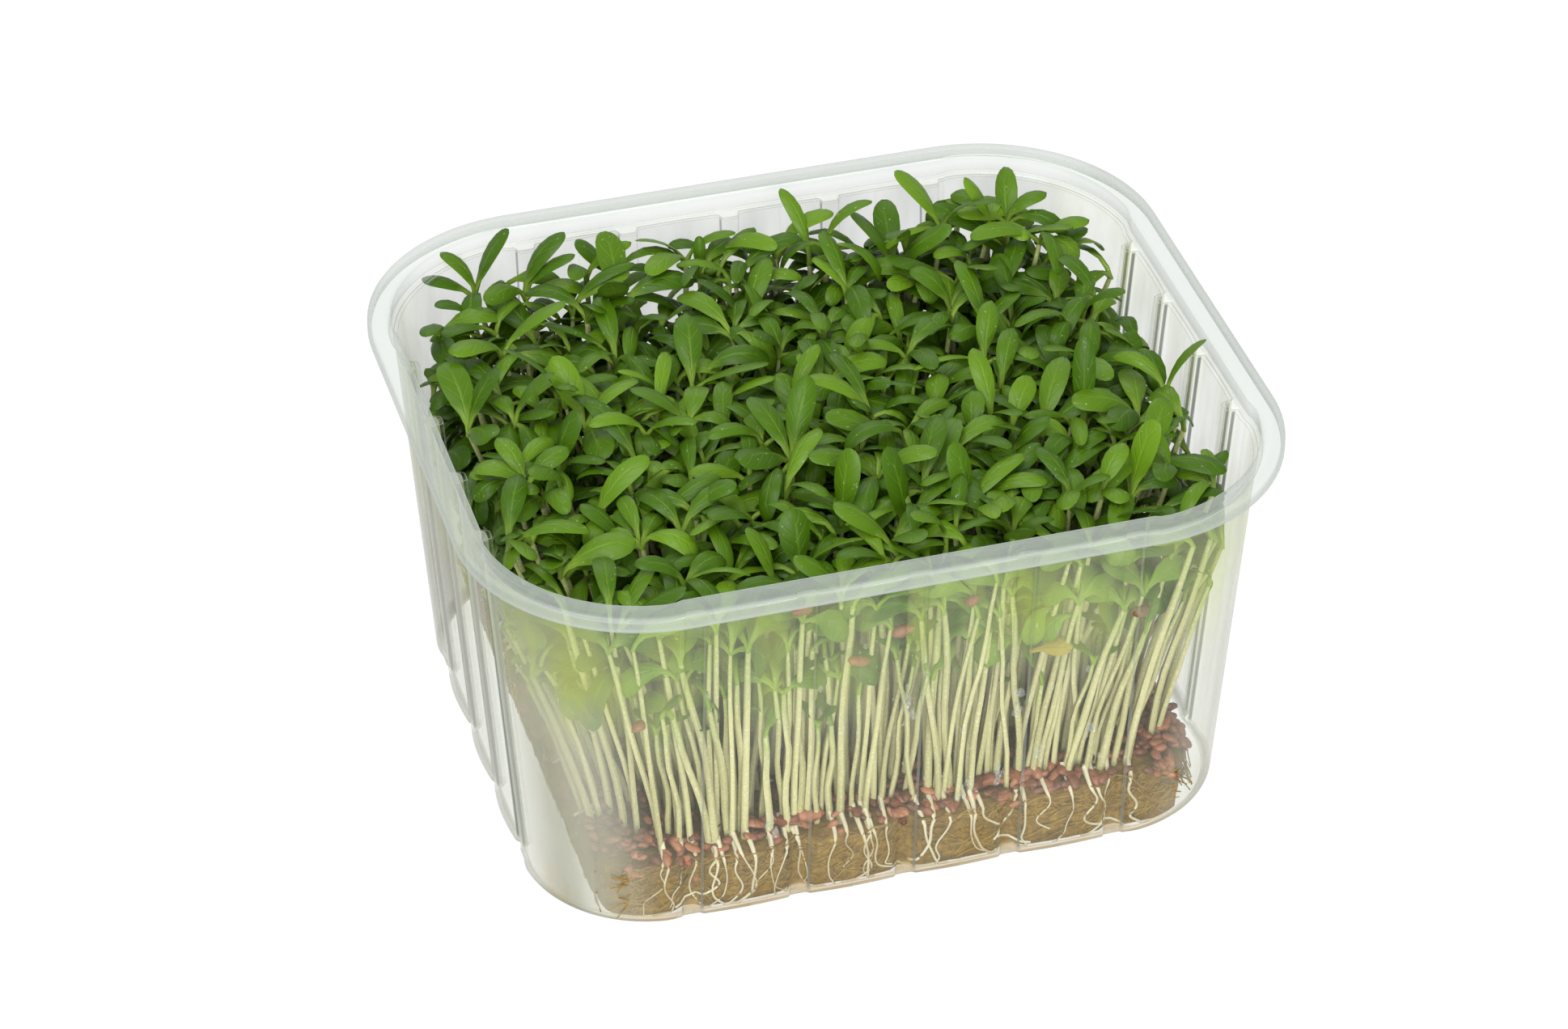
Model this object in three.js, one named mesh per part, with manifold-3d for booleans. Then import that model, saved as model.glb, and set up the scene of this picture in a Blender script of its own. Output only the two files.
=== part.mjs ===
// Garden cress in a clear tub: seedlings stand in a fibre mat that lies on the tub's floor.
// Millimetres, +Z up, +X along the tub; the origin is the middle of the tub's flat underside.
import * as THREE from "three";
import { ParametricGeometry } from "three/addons/geometries/ParametricGeometry.js";
import { mergeVertices } from "three/addons/utils/BufferGeometryUtils.js";
import Module from "manifold-3d";

const wasm = await Module();
wasm.setup();

// Tub. Every outline is one core rectangle grown outwards by a radius, so straight sides keep their length.
const RIM_LENGTH = 116;
const RIM_WIDTH = 100;
const RIM_HEIGHT = 58.6;
const RIM_CORNER = 25.8;
const FLANGE = 3.4;
const SKIRT = 2.3;
const RIM_EDGE = 0.7;
const WALL = 0.6;
const BASE_CORNER = 18.8;
const BASE_ROUND = 1.4;
const ROUND_STEPS = 2;
const LEDGE_HEIGHT = 55.2;
const LEDGE = 0.6;
const SIDE_STEP = 0.5;
const STEP_TURN = 0.1;
const FLUTE_DEPTH = 1.2;
const PANEL_BULGE = 0.8;
const FLUTES_LONG = { count: 5, pitch: 15.3, width: 3 };
const FLUTES_SHORT = { count: 4, pitch: 13.8, width: 2.4 };
const CORNER_STEPS = 5;
const CORE_X = RIM_LENGTH / 2 - RIM_CORNER;
const CORE_Y = RIM_WIDTH / 2 - RIM_CORNER;
const MOUTH = RIM_CORNER - FLANGE + WALL;

// Growing mat, and the plain holes the seedlings stand in.
const MAT_LENGTH = 82;
const MAT_WIDTH = 80.8;
const MAT_CORNER = 5;
const MAT_BOTTOM = 0.9;
const MAT_TOP = 10;
const MAT_FOOT = [
  { inset: 1, rise: 0 },
  { inset: 0.6, rise: 1.3 },
  { inset: 0.4, rise: 3.8 },
];
const HOLE_RADIUS = 2;
const HOLE_BOTTOM = 4;
const GAP = 0.3;

// Seed hulls, heaped along the edge of the mat.
const HEAPS = 8;
const HULLS_PER_HEAP = 5;
const HULL_SIZE = [1.75, 1.1, 0.95];
const HULL_PITCH = 1.9;
const HEAP_INSET = 2.1;

// Seedlings: pairs sown evenly over the mat, fanning out to the tub's mouth.
const PAIRS = 48;
const SOWING_STEP = [0.7548776662, 0.569840291];
const SOWN_X = 35;
const SOWN_Y = 34.2;
const FAN_X = 1.3;
const FAN_Y = 1.17;
const KNOT_RISE = 0.6;
const FOOT_SPREAD = 0.7;
const FOOT_DEPTH = 1.5;
const PAIR_SPREAD = [2.2, 4.2];
const NODE_HEIGHT = [37, 52];
const STEM_RADIUS = [0.85, 0.7];
const STEM_LEAN = 1.3;
const NODE_LENGTH = 1.2;
const CROWNED = 0.6;
const CROWN_RISE = [1, 1.45];
const LEAF_LENGTH = [10.5, 14];
const LEAF_HALF_WIDTH = [1.9, 2.5];
const LEAF_RISE = [0.5, 1.35];
const LEAF_BEND = [0.7, 1.9];
const LEAF_SWING = 0.6;
const LEAF_ROLL = 0.5;
const LEAF_STATIONS = [0.3, 0.55, 0.82];
const PETIOLE = 0.5;
const KEEL = 0.85;
const TALLEST = 66;
const WALL_CLEARANCE = 0.9;
const CLEARANCE = 1.3;
const TRIES = 30;
const TURN = 0.618034;

const tubMaterial = new THREE.MeshStandardMaterial({
  name: "clear_plastic", color: 0xdfe8e2, roughness: 0.15, transparent: true, opacity: 0.35,
});
const matMaterial = new THREE.MeshStandardMaterial({ name: "mat_fibre", color: 0x9a7440, roughness: 0.95 });
const hullMaterial = new THREE.MeshStandardMaterial({ name: "seed_hull", color: 0x9c4a30, roughness: 0.6 });
const cressMaterial = new THREE.MeshStandardMaterial({ name: "cress", color: 0x4f8a30, roughness: 0.55 });

const mix = (a, b, t) => a + (b - a) * t;
const fraction = (x) => x - Math.floor(x);
// Seeded draw from 0 to 1, one for each pair of whole numbers.
const draw = (seed, k) => fraction(Math.sin(seed * 12.9898 + k * 78.233) * 43758.5453);
const drawIn = (range, seed, k) => mix(range[0], range[1], draw(seed, k));

// Closed solid from a geometry whose seams meet.
function solid(geometry) {
  const bare = new THREE.BufferGeometry();
  bare.setAttribute("position", geometry.getAttribute("position"));
  bare.setIndex(geometry.index);
  const merged = mergeVertices(bare, 1e-4);
  const corners = merged.index.array;
  const kept = [];
  for (let i = 0; i < corners.length; i += 3) {
    const [a, b, c] = corners.slice(i, i + 3);
    if (a !== b && b !== c && c !== a) kept.push(a, b, c);
  }
  const vertProperties = new Float32Array(merged.getAttribute("position").array);
  return new wasm.Manifold(new wasm.Mesh({ numProp: 3, vertProperties, triVerts: new Uint32Array(kept) }));
}

// Surface through rows of points: each row is a ring, and the first and last rows close to a point.
function loft(rows) {
  const sides = rows[0].length;
  const across = (u, v, target) => {
    const row = rows[Math.round(v * (rows.length - 1))];
    target.copy(row[Math.round(u * sides) % sides]);
  };
  return solid(new ParametricGeometry(across, sides, rows.length - 1));
}

function named(name, body, material) {
  const { vertProperties, triVerts } = body.getMesh();
  const geometry = new THREE.BufferGeometry();
  geometry.setAttribute("position", new THREE.BufferAttribute(vertProperties, 3));
  geometry.setIndex(new THREE.BufferAttribute(triVerts, 1));
  geometry.computeVertexNormals();
  const mesh = new THREE.Mesh(geometry, material);
  mesh.name = name;
  return mesh;
}

// Stations round a core rectangle: point, outward normal, and share of the side's step, a flute and a bulge.
function stationsRound(halfX, halfY, steps, flutes) {
  const stations = [];
  for (let side = 0; side < 4; side++) {
    const angle = (side * Math.PI) / 2;
    const normal = [Math.round(Math.cos(angle)), Math.round(Math.sin(angle))];
    const along = [-normal[1], normal[0]];
    const out = side % 2 ? halfY : halfX;
    const half = side % 2 ? halfX : halfY;
    const place = (s, step, flute, bulge) => stations.push({
      x: normal[0] * out + along[0] * s, y: normal[1] * out + along[1] * s, normal, step, flute, bulge,
    });
    if (flutes) {
      const { width, pitch, count } = flutes[side % 2];
      for (let i = 0; i < count; i++) {
        const c = (i - (count - 1) / 2) * pitch;
        const section = [[-0.5, 0], [-0.25, 1], [0.25, 1], [0.5, 0]];
        section.forEach(([w, depth]) => place(c + w * width, 1, depth, 0));
        if (i < count - 1) place(c + pitch / 2, 1, 0, 1);
      }
    }
    // The corner: the side's step eases out within the first and last few degrees of the turn.
    for (let i = -1; i <= steps + 1; i++) {
      const within = i >= 0 && i <= steps;
      const end = i < 0 ? 0 : Math.PI / 2;
      const turn = angle + (within ? mix(STEP_TURN, Math.PI / 2 - STEP_TURN, i / steps) : end);
      place(half, within ? 0 : 1, 0, 0);
      stations.at(-1).normal = [Math.cos(turn), Math.sin(turn)];
    }
  }
  return stations;
}

// Profile of radius and height rows carried round the stations, closed at the middle of both ends.
function carried(profile, stations) {
  const ring = ({ r, z, step = 0, flute = 0, bulge = 0 }) => stations.map((s) => {
    const inwards = SIDE_STEP * step * s.step + FLUTE_DEPTH * flute * s.flute;
    const reach = r - inwards + PANEL_BULGE * bulge * s.bulge;
    return new THREE.Vector3(s.x + s.normal[0] * reach, s.y + s.normal[1] * reach, z);
  });
  const middle = ({ z }) => stations.map(() => new THREE.Vector3(0, 0, z));
  return loft([middle(profile[0]), ...profile.map(ring), middle(profile.at(-1))]);
}

// Outer face of the plain drafted wall at height z.
const wallRadius = (z) => mix(BASE_CORNER, MOUTH, z / RIM_HEIGHT);

// One face of the shell from the floor to above the ledge, set in from the outer face.
function shellFace(inset) {
  const round = BASE_ROUND - inset;
  const foot = wallRadius(BASE_ROUND) - LEDGE - inset - round;
  const rows = [];
  for (let k = 0; k <= ROUND_STEPS; k++) {
    const a = ((k / ROUND_STEPS) * Math.PI) / 2;
    const share = k / ROUND_STEPS;
    const height = inset + round * (1 - Math.cos(a));
    rows.push({ r: foot + round * Math.sin(a), z: height, step: share, flute: share, bulge: share });
  }
  rows.push({ r: wallRadius(LEDGE_HEIGHT) - LEDGE - inset, z: LEDGE_HEIGHT, step: 1, flute: 1, bulge: 0.3 });
  rows.push({ r: wallRadius(LEDGE_HEIGHT + LEDGE) - inset, z: LEDGE_HEIGHT + LEDGE, step: 1 });
  return rows;
}

function tub() {
  const rim = [
    { r: MOUTH, z: RIM_HEIGHT - WALL, step: 1 },
    { r: RIM_CORNER - WALL, z: RIM_HEIGHT - WALL },
    { r: RIM_CORNER - WALL, z: RIM_HEIGHT - SKIRT },
    { r: RIM_CORNER, z: RIM_HEIGHT - SKIRT },
    { r: RIM_CORNER, z: RIM_HEIGHT - RIM_EDGE },
    { r: RIM_CORNER - RIM_EDGE, z: RIM_HEIGHT },
    { r: MOUTH - WALL, z: RIM_HEIGHT, step: 1 },
  ];
  const profile = [...shellFace(0), ...rim, ...shellFace(WALL).reverse()];
  return carried(profile, stationsRound(CORE_X, CORE_Y, CORNER_STEPS, [FLUTES_SHORT, FLUTES_LONG]));
}

// Six-sided upright plug or hole.
function hexagon(x, y, bottom, top, lower, upper) {
  const geometry = new THREE.CylinderGeometry(upper, lower, top - bottom, 6);
  geometry.rotateX(Math.PI / 2);
  geometry.translate(x, y, (top + bottom) / 2);
  return solid(geometry);
}

function growingMat(places) {
  const foot = MAT_FOOT.map(({ inset, rise }) => ({ r: MAT_CORNER - inset, z: MAT_BOTTOM + rise }));
  const profile = [...foot, { r: MAT_CORNER, z: MAT_TOP }];
  const stations = stationsRound(MAT_LENGTH / 2 - MAT_CORNER, MAT_WIDTH / 2 - MAT_CORNER, 2);
  const holes = places.map(([x, y]) => hexagon(x, y, HOLE_BOTTOM, MAT_TOP + 1, HOLE_RADIUS, HOLE_RADIUS));
  return carried(profile, stations).subtract(wasm.Manifold.union(holes));
}

// Point and heading at a distance along the rectangle the heaps follow.
function onHeapLine(distance) {
  const halves = [MAT_WIDTH / 2 - HEAP_INSET, MAT_LENGTH / 2 - HEAP_INSET];
  let left = distance;
  let side = 0;
  while (left > 2 * halves[side % 2]) {
    left -= 2 * halves[side % 2];
    side++;
  }
  const angle = (side * Math.PI) / 2;
  const s = left - halves[side % 2];
  const out = halves[(side + 1) % 2];
  const x = Math.cos(angle) * out - Math.sin(angle) * s;
  const y = Math.sin(angle) * out + Math.cos(angle) * s;
  return { x, y, heading: angle + Math.PI / 2 };
}

// A heap: a short row of seed hulls lying askew, each sunk into the next.
function hullHeap(index) {
  const lap = 4 * (MAT_LENGTH / 2 + MAT_WIDTH / 2 - 2 * HEAP_INSET);
  const start = (lap * (index + 0.25 + 0.3 * draw(index, 3))) / HEAPS;
  const hulls = [];
  for (let i = 0; i < HULLS_PER_HEAP; i++) {
    const seed = 500 + index * HULLS_PER_HEAP + i;
    const { x, y, heading } = onHeapLine(start + i * HULL_PITCH);
    const hull = new THREE.IcosahedronGeometry(1, 0);
    hull.scale(...HULL_SIZE);
    hull.rotateZ(heading + 1.2 * (draw(seed, 1) - 0.5));
    hull.translate(x, y, MAT_TOP + GAP + HULL_SIZE[2] + 0.5 * draw(seed, 2));
    hulls.push(solid(hull));
  }
  return wasm.Manifold.union(hulls);
}

// Evenly spread sowing place of one pair.
const sown = (i) => [
  SOWN_X * (2 * fraction(0.5 + i * SOWING_STEP[0]) - 1),
  SOWN_Y * (2 * fraction(0.5 + i * SOWING_STEP[1]) - 1),
];

// Whether a point keeps clear of the tub's wall and of the height limit.
function inTub({ x, y, z }) {
  const r = Math.hypot(Math.max(Math.abs(x) - CORE_X, 0), Math.max(Math.abs(y) - CORE_Y, 0));
  const wall = wallRadius(Math.min(z, RIM_HEIGHT)) - WALL - SIDE_STEP;
  const ribs = z < RIM_HEIGHT ? LEDGE + FLUTE_DEPTH : 0;
  return z < TALLEST && r < wall - ribs - WALL_CLEARANCE;
}

// Stem centre at a share s of its height: upright at the mat, leaning more and more.
const stemPoint = ({ foot, node }, s) => new THREE.Vector3(
  mix(foot.x, node.x, s ** STEM_LEAN), mix(foot.y, node.y, s ** STEM_LEAN), mix(foot.z, node.z, s),
);

const stemPoints = (stem) => Array.from({ length: 31 }, (_, i) => stemPoint(stem, i / 30));

// Half width of a leaf at a share t of its length: a narrow stalk, then a spoon widest near the tip.
function leafHalfWidth(leaf, t) {
  const s = (t - 0.15) / 0.85;
  return s <= 0 ? PETIOLE : Math.max(PETIOLE, leaf.width * (s / 0.7) ** 1.1 * ((1 - s) / 0.3) ** 0.47);
}

// Centre, sideways and upward directions of a leaf at t: it rises from the node and bends over in an arc.
function leafFrame(leaf, t) {
  const rise = leaf.rise - leaf.bend * t;
  const reach = (leaf.length / leaf.bend) * (Math.sin(leaf.rise) - Math.sin(rise));
  const lift = (leaf.length / leaf.bend) * (Math.cos(rise) - Math.cos(leaf.rise));
  const [c, s] = [Math.cos(leaf.turn), Math.sin(leaf.turn)];
  const centre = new THREE.Vector3(leaf.node.x + c * reach, leaf.node.y + s * reach, leaf.node.z + lift);
  const level = new THREE.Vector3(-s, c, 0);
  const over = new THREE.Vector3(-c * Math.sin(rise), -s * Math.sin(rise), Math.cos(rise));
  const side = level.clone().multiplyScalar(Math.cos(leaf.roll)).addScaledVector(over, Math.sin(leaf.roll));
  const up = over.clone().multiplyScalar(Math.cos(leaf.roll)).addScaledVector(level, -Math.sin(leaf.roll));
  return { centre, side, up };
}

function leafPoints(leaf) {
  const points = [];
  for (let t = 0.15; t <= 1; t += 0.085) {
    const { centre, side } = leafFrame(leaf, t);
    const half = t < 0.99 ? leafHalfWidth(leaf, t) : 0;
    for (const w of [-1, -0.5, 0, 0.5, 1]) points.push(centre.clone().addScaledVector(side, w * half));
  }
  return points;
}

const near = CLEARANCE ** 2;
const isClear = (points, others) => points.every(
  (p) => inTub(p) && others.every((q) => p.distanceToSquared(q) > near),
);

// A stem of a pair: the first of its leans that is clear of the other pairs.
function growStem(pair, j, others) {
  const seed = pair.index * 2 + j + 1;
  const height = drawIn(NODE_HEIGHT, seed, 1);
  const spread = drawIn(PAIR_SPREAD, seed, 2);
  for (let k = 0; k < TRIES; k++) {
    const turn = 2 * Math.PI * (draw(pair.index, 4) + j / 2 + k * TURN);
    const [c, s] = [Math.cos(turn), Math.sin(turn)];
    const foot = new THREE.Vector3(pair.x + FOOT_SPREAD * c, pair.y + FOOT_SPREAD * s, MAT_TOP - FOOT_DEPTH);
    const node = new THREE.Vector3(pair.x * FAN_X + spread * c, pair.y * FAN_Y + spread * s, height);
    const stem = { foot, node, seed, turn: 2 * Math.PI * draw(seed, 5), leaves: [] };
    stem.points = stemPoints(stem);
    if (isClear(stem.points, others)) return stem;
  }
  return null;
}

// A leaf on face m of a stem's node: the first of its bends that is clear of all other seedlings.
function growLeaf(stem, m, others) {
  const { seed, node } = stem;
  for (let k = 0; k < TRIES; k++) {
    const facing = m < 3 ? (2 * Math.PI * m) / 3 : Math.PI / 3;
    const leaf = {
      node,
      face: m,
      turn: stem.turn + facing + LEAF_SWING * (2 * draw(seed, 6 + m + 7 * k) - 1),
      length: drawIn(LEAF_LENGTH, seed, 20 + m) * (k > TRIES / 2 ? 0.85 : 1),
      width: drawIn(LEAF_HALF_WIDTH, seed, 30 + m),
      rise: drawIn(m < 3 ? LEAF_RISE : CROWN_RISE, seed, 40 + m + 7 * k),
      bend: drawIn(LEAF_BEND, seed, 50 + m + 7 * k),
      roll: LEAF_ROLL * (2 * draw(seed, 60 + m + 7 * k) - 1),
    };
    leaf.points = leafPoints(leaf);
    if (isClear(leaf.points, others)) return leaf;
  }
  return null;
}

const pointsOf = (stems) => stems.flatMap((s) => [...s.points, ...s.leaves.flatMap((leaf) => leaf.points)]);

// Grow the pairs in turn, each round what already stands; a stem with fewer than two leaves doesn't come up.
function grow() {
  const others = [];
  const pairs = [];
  for (let index = 0; pairs.length < PAIRS; index++) {
    const [x, y] = sown(index);
    const pair = { index, x, y };
    const stems = [0, 1].map((j) => growStem(pair, j, others)).filter(Boolean);
    for (const stem of stems) {
      const nearby = [...others, ...pointsOf(stems.filter((other) => other !== stem))];
      const count = draw(stem.seed, 8) < CROWNED ? 4 : 3;
      for (let m = 0; m < count; m++) {
        const leaf = growLeaf(stem, m, nearby);
        if (leaf) stem.leaves.push(leaf);
      }
    }
    pair.stems = stems.filter((stem) => stem.leaves.length > 1);
    if (!pair.stems.length) continue;
    others.push(...pointsOf(pair.stems));
    pairs.push(pair);
  }
  return pairs;
}

// One seedling, every section of it a triangle: the stem ends in a node, and each leaf grows out of its faces.
function seedling(stem) {
  const points = [];
  const triangles = [];
  const ring = (corners) => corners.map((corner) => points.push(corner) - 1);
  const join = (a, b) => [0, 1, 2].forEach((k) => {
    const next = (k + 1) % 3;
    triangles.push(a[k], a[next], b[k], a[next], b[next], b[k]);
  });
  const level = (centre, radius, turn) => ring([0, 1, 2].map((k) => {
    const a = turn + (2 * Math.PI * k) / 3;
    return new THREE.Vector3(centre.x + radius * Math.cos(a), centre.y + radius * Math.sin(a), centre.z);
  }));
  const shares = [0, 0.35, 0.7, 1 - NODE_LENGTH / (stem.node.z - stem.foot.z)];
  const rings = shares.map((s) => level(stemPoint(stem, s), mix(...STEM_RADIUS, s), stem.turn));
  rings.slice(1).forEach((upper, i) => join(rings[i], upper));
  const low = rings.at(-1);
  const high = level(stem.node, STEM_RADIUS[1], stem.turn + Math.PI / 3);
  triangles.push(rings[0][2], rings[0][1], rings[0][0]);
  [0, 1, 2].forEach((k) => triangles.push(low[k], low[(k + 1) % 3], high[k]));
  const faces = [0, 1, 2].map((k) => [high[k], high[(k + 2) % 3], low[k]]);
  faces.push([high[1], high[2], high[0]]);
  faces.forEach((face, m) => {
    const leaf = stem.leaves.find((each) => each.face === m);
    if (!leaf) {
      triangles.push(...face);
      return;
    }
    let last = face;
    for (const t of LEAF_STATIONS) {
      const { centre, side, up } = leafFrame(leaf, t);
      const half = leafHalfWidth(leaf, t);
      const edges = [half, -half].map((w) => centre.clone().addScaledVector(side, w));
      const next = ring([...edges, centre.clone().addScaledVector(up, -KEEL)]);
      join(last, next);
      last = next;
    }
    const tip = points.push(leafFrame(leaf, 1).centre) - 1;
    [0, 1, 2].forEach((k) => triangles.push(last[k], last[(k + 1) % 3], tip));
  });
  const geometry = new THREE.BufferGeometry().setFromPoints(points);
  geometry.setIndex(triangles);
  return solid(geometry);
}

// One pair: a root knot that stands in its hole, and the seedlings that grow out of it.
function seedlingPair({ x, y, stems }) {
  const knot = hexagon(x, y, HOLE_BOTTOM + GAP, MAT_TOP + KNOT_RISE, HOLE_RADIUS / 2, HOLE_RADIUS - GAP);
  return wasm.Manifold.union([knot, ...stems.map(seedling)]);
}

const pairs = grow();
const object = new THREE.Group();
object.name = "cress_tub";
object.add(named("tub", tub(), tubMaterial));
object.add(named("growing_mat", growingMat(pairs.map(({ x, y }) => [x, y])), matMaterial));
for (let i = 0; i < HEAPS; i++) {
  object.add(named(`seed_hulls_${String(i + 1).padStart(2, "0")}`, hullHeap(i), hullMaterial));
}
pairs.forEach((pair, i) => {
  object.add(named(`seedlings_${String(i + 1).padStart(2, "0")}`, seedlingPair(pair), cressMaterial));
});

export default object;
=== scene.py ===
"""Garden cress growing in a clear tub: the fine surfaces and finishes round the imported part.

Lengths are millimetres until a mesh is made, +Z is up, and the origin is the middle of the tub's underside.
"""
import math

import bpy
import numpy as np
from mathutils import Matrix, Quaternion, Vector


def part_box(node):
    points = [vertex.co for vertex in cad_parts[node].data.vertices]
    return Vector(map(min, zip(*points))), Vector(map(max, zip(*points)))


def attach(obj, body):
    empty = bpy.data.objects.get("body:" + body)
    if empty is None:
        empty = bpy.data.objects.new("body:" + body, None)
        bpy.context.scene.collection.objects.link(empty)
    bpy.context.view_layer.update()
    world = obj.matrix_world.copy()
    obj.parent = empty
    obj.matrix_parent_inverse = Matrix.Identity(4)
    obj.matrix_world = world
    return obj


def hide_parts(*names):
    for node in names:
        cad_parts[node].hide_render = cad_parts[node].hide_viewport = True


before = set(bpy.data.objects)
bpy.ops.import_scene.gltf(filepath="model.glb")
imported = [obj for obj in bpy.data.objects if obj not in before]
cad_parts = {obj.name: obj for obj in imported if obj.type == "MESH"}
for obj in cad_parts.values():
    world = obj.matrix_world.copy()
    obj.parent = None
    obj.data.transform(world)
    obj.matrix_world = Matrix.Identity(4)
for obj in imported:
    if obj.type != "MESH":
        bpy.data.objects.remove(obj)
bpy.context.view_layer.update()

MM = 0.001

# Tub, as in the part's source
TUB_HIGH = np.array(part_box("tub")[1]) / MM
RIM_HEIGHT = TUB_HIGH[2]
RIM_CORNER = 25.8
CORE = TUB_HIGH[:2] - RIM_CORNER
FLANGE = 3.4
SKIRT = 2.3
WALL = 0.6
BASE_CORNER = 18.8
BASE_ROUND = 1.4
LEDGE_HEIGHT = 55.2
LEDGE = 0.6
SIDE_STEP = 0.5
STEP_TURN = 0.1
FLUTE_DEPTH = 1.2
PANEL_BULGE = 0.8
FLUTES_LONG = {"count": 5, "pitch": 15.3, "width": 3.0}
FLUTES_SHORT = {"count": 4, "pitch": 13.8, "width": 2.4}
FLUTE_FLANK = (0.34, 0.56)
FLUTE_EDGE = np.array([0.28, 0.36, 0.42, 0.48, 0.54, 0.6, 0.7])
FLUTE_STATIONS = np.concatenate([-FLUTE_EDGE[::-1], [0], FLUTE_EDGE])
MOUTH = RIM_CORNER - FLANGE + WALL

# Growing mat
MAT_LOW, MAT_HIGH = (np.array(corner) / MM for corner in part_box("growing_mat"))
MAT_TOP = MAT_HIGH[2]
MAT_CORNER = 5.0
MAT_FOOT = ((1.0, 0.0), (0.6, 1.3), (0.4, 3.8))

# How far the mat's left and right ends reach beyond the part's, and the zone over which that grows
MAT_SLIDE = (2.4, 1.8)
SLIDE_ZONE = (28, 41)

# Seed hulls
HEAPS = sum(name.startswith("seed_hulls_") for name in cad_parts)
HULL_SIZE = np.array([1.75, 1.1, 0.95])
HULLS_PER_HEAP = 5
HULL_PITCH = 1.9
HEAP_INSET = 2.1

# Hulls stuck to the front wall: place across it and height
STUCK_HULLS = (
    (-7.3, 41.0),
    (-1.0, 43.8),
    (32.5, 40.3),
    (-29.4, 5.3),
    (-15.5, 50.5),
    (8.0, 48.0),
    (-38.0, 36.0),
)

# Seedlings, as in the part's source
PAIRS = sum(name.startswith("seedlings_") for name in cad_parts)
SOWING_STEP = (0.7548776662, 0.569840291)
SOWN = (35.0, 34.2)
FAN = (1.3, 1.17)
FOOT_SPREAD = 0.7
FOOT_DEPTH = 1.5
PAIR_SPREAD = (2.2, 4.2)
NODE_HEIGHT = (37.0, 52.0)
STEM_LEAN = 1.3
CROWNED = 0.6
PAIR_LEAVES = (3, 4)
CROWN_RISE = (1.0, 1.45)
LEAF_LENGTH = (10.5, 14.0)
LEAF_HALF_WIDTH = (1.9, 2.5)
LEAF_RISE = (0.5, 1.35)
LEAF_BEND = (0.7, 1.9)
LEAF_SWING = 0.6
LEAF_ROLL = 0.5
PETIOLE = 0.5
TALLEST = 66.0
WALL_CLEARANCE = 0.9
CLEARANCE = 1.3
TRIES = 30
TURN = 0.618034
LEAF_PROBE = 0.15 + 0.085 * np.arange(11)

# Seedlings between the pairs, which fill the mat to its real density
FILL = 1500
FILL_SOWN = (38.8, 38.0)
FILL_FAN = (0.26, 0.18)
FILL_SPREAD = (0.2, 5.5)
FILL_HEIGHT = (35.0, 52.0)
FILL_CROWDING = 0.6
FILL_LEAF_LENGTH = (7.0, 13.5)
FILL_LEAF_HALF_WIDTH = (1.2, 1.95)
FILL_LEAF_RISE = (0.85, 1.6)
FILL_LEAF_BEND = (1.3, 3.0)
FILL_LEAVES = (2, 4)
FILL_TRIES = 12
FILL_SEED = 2000
FILL_GROUPS = 6
STEM_ROOM = 0.6
LEAF_ROOM = 0.45

# Those of them along the mat's edge, whose leaves turn towards the wall; they are taller at the front
EDGE_SHARE = 0.5
EDGE_INSET = (0.8, 4.0)
EDGE_HEIGHT = (32.0, 44.0)
FRONT_HEIGHT = (35.0, 50.0)
EDGE_TILT = 0.7
EDGE_TRIES = 30
EDGE_LEAVES = (4, 6)
EDGE_LEAF_LENGTH = (6.5, 10.5)
EDGE_LEAF_HALF_WIDTH = (1.6, 2.3)
EDGE_LEAF_RISE = (0.1, 1.3)

# Young ones, whose leaves found no room
YOUNG_HEIGHT = (27.0, 40.0)
YOUNG_LEAF_LENGTH = (4.5, 7.5)

# Leaves as drawn: greens from the darkest to the lightest, the stalk's, and the shares of length with a ring
# The leaf's tone picks among these greens and carries painted light and shade: leaves high up and at the
# front take the lighter ones, low ones the darker
LEAF_GREENS = ((0.015, 0.045, 0.0), (0.035, 0.09, 0.0005), (0.135, 0.25, 0.01))
LEAF_STALK = (0.24, 0.36, 0.05)
LEAF_STATIONS = np.array([-0.02, 0.12, 0.26, 0.4, 0.55, 0.7, 0.84, 0.93, 0.98, 1.0])

# How far a stem sways from its path
STEM_SWAY = 0.45

# One yellowed leaf on the front wall: its place across and height, then its turn, rise, bend, length,
# half width and roll, and its colours
WITHERED_PLACE = (17.3, 36.0)
WITHERED_LEAF = (0.0, 0.15, 0.5, 6.2, 1.4, 0.9)
WITHERED_COLOURS = ((0.3, 0.22, 0.04), (0.36, 0.27, 0.05), (0.42, 0.34, 0.08))

# Roots: how near the mat's edge a stem has to stand to show them, and the share of those that do
ROOT_INSET = 3.2
ROOT_SHARE = 0.65

# Middles of the trails of drops on the front wall: place across it and height
WET_PLACES = (
    (-1.0, 33.0),
    (0.0, 29.0),
    (15.8, 27.4),
    (12.9, 16.1),
    (18.6, 18.5),
    (-19.0, 14.9),
    (8.0, 15.5),
    (26.0, 22.0),
)

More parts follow.
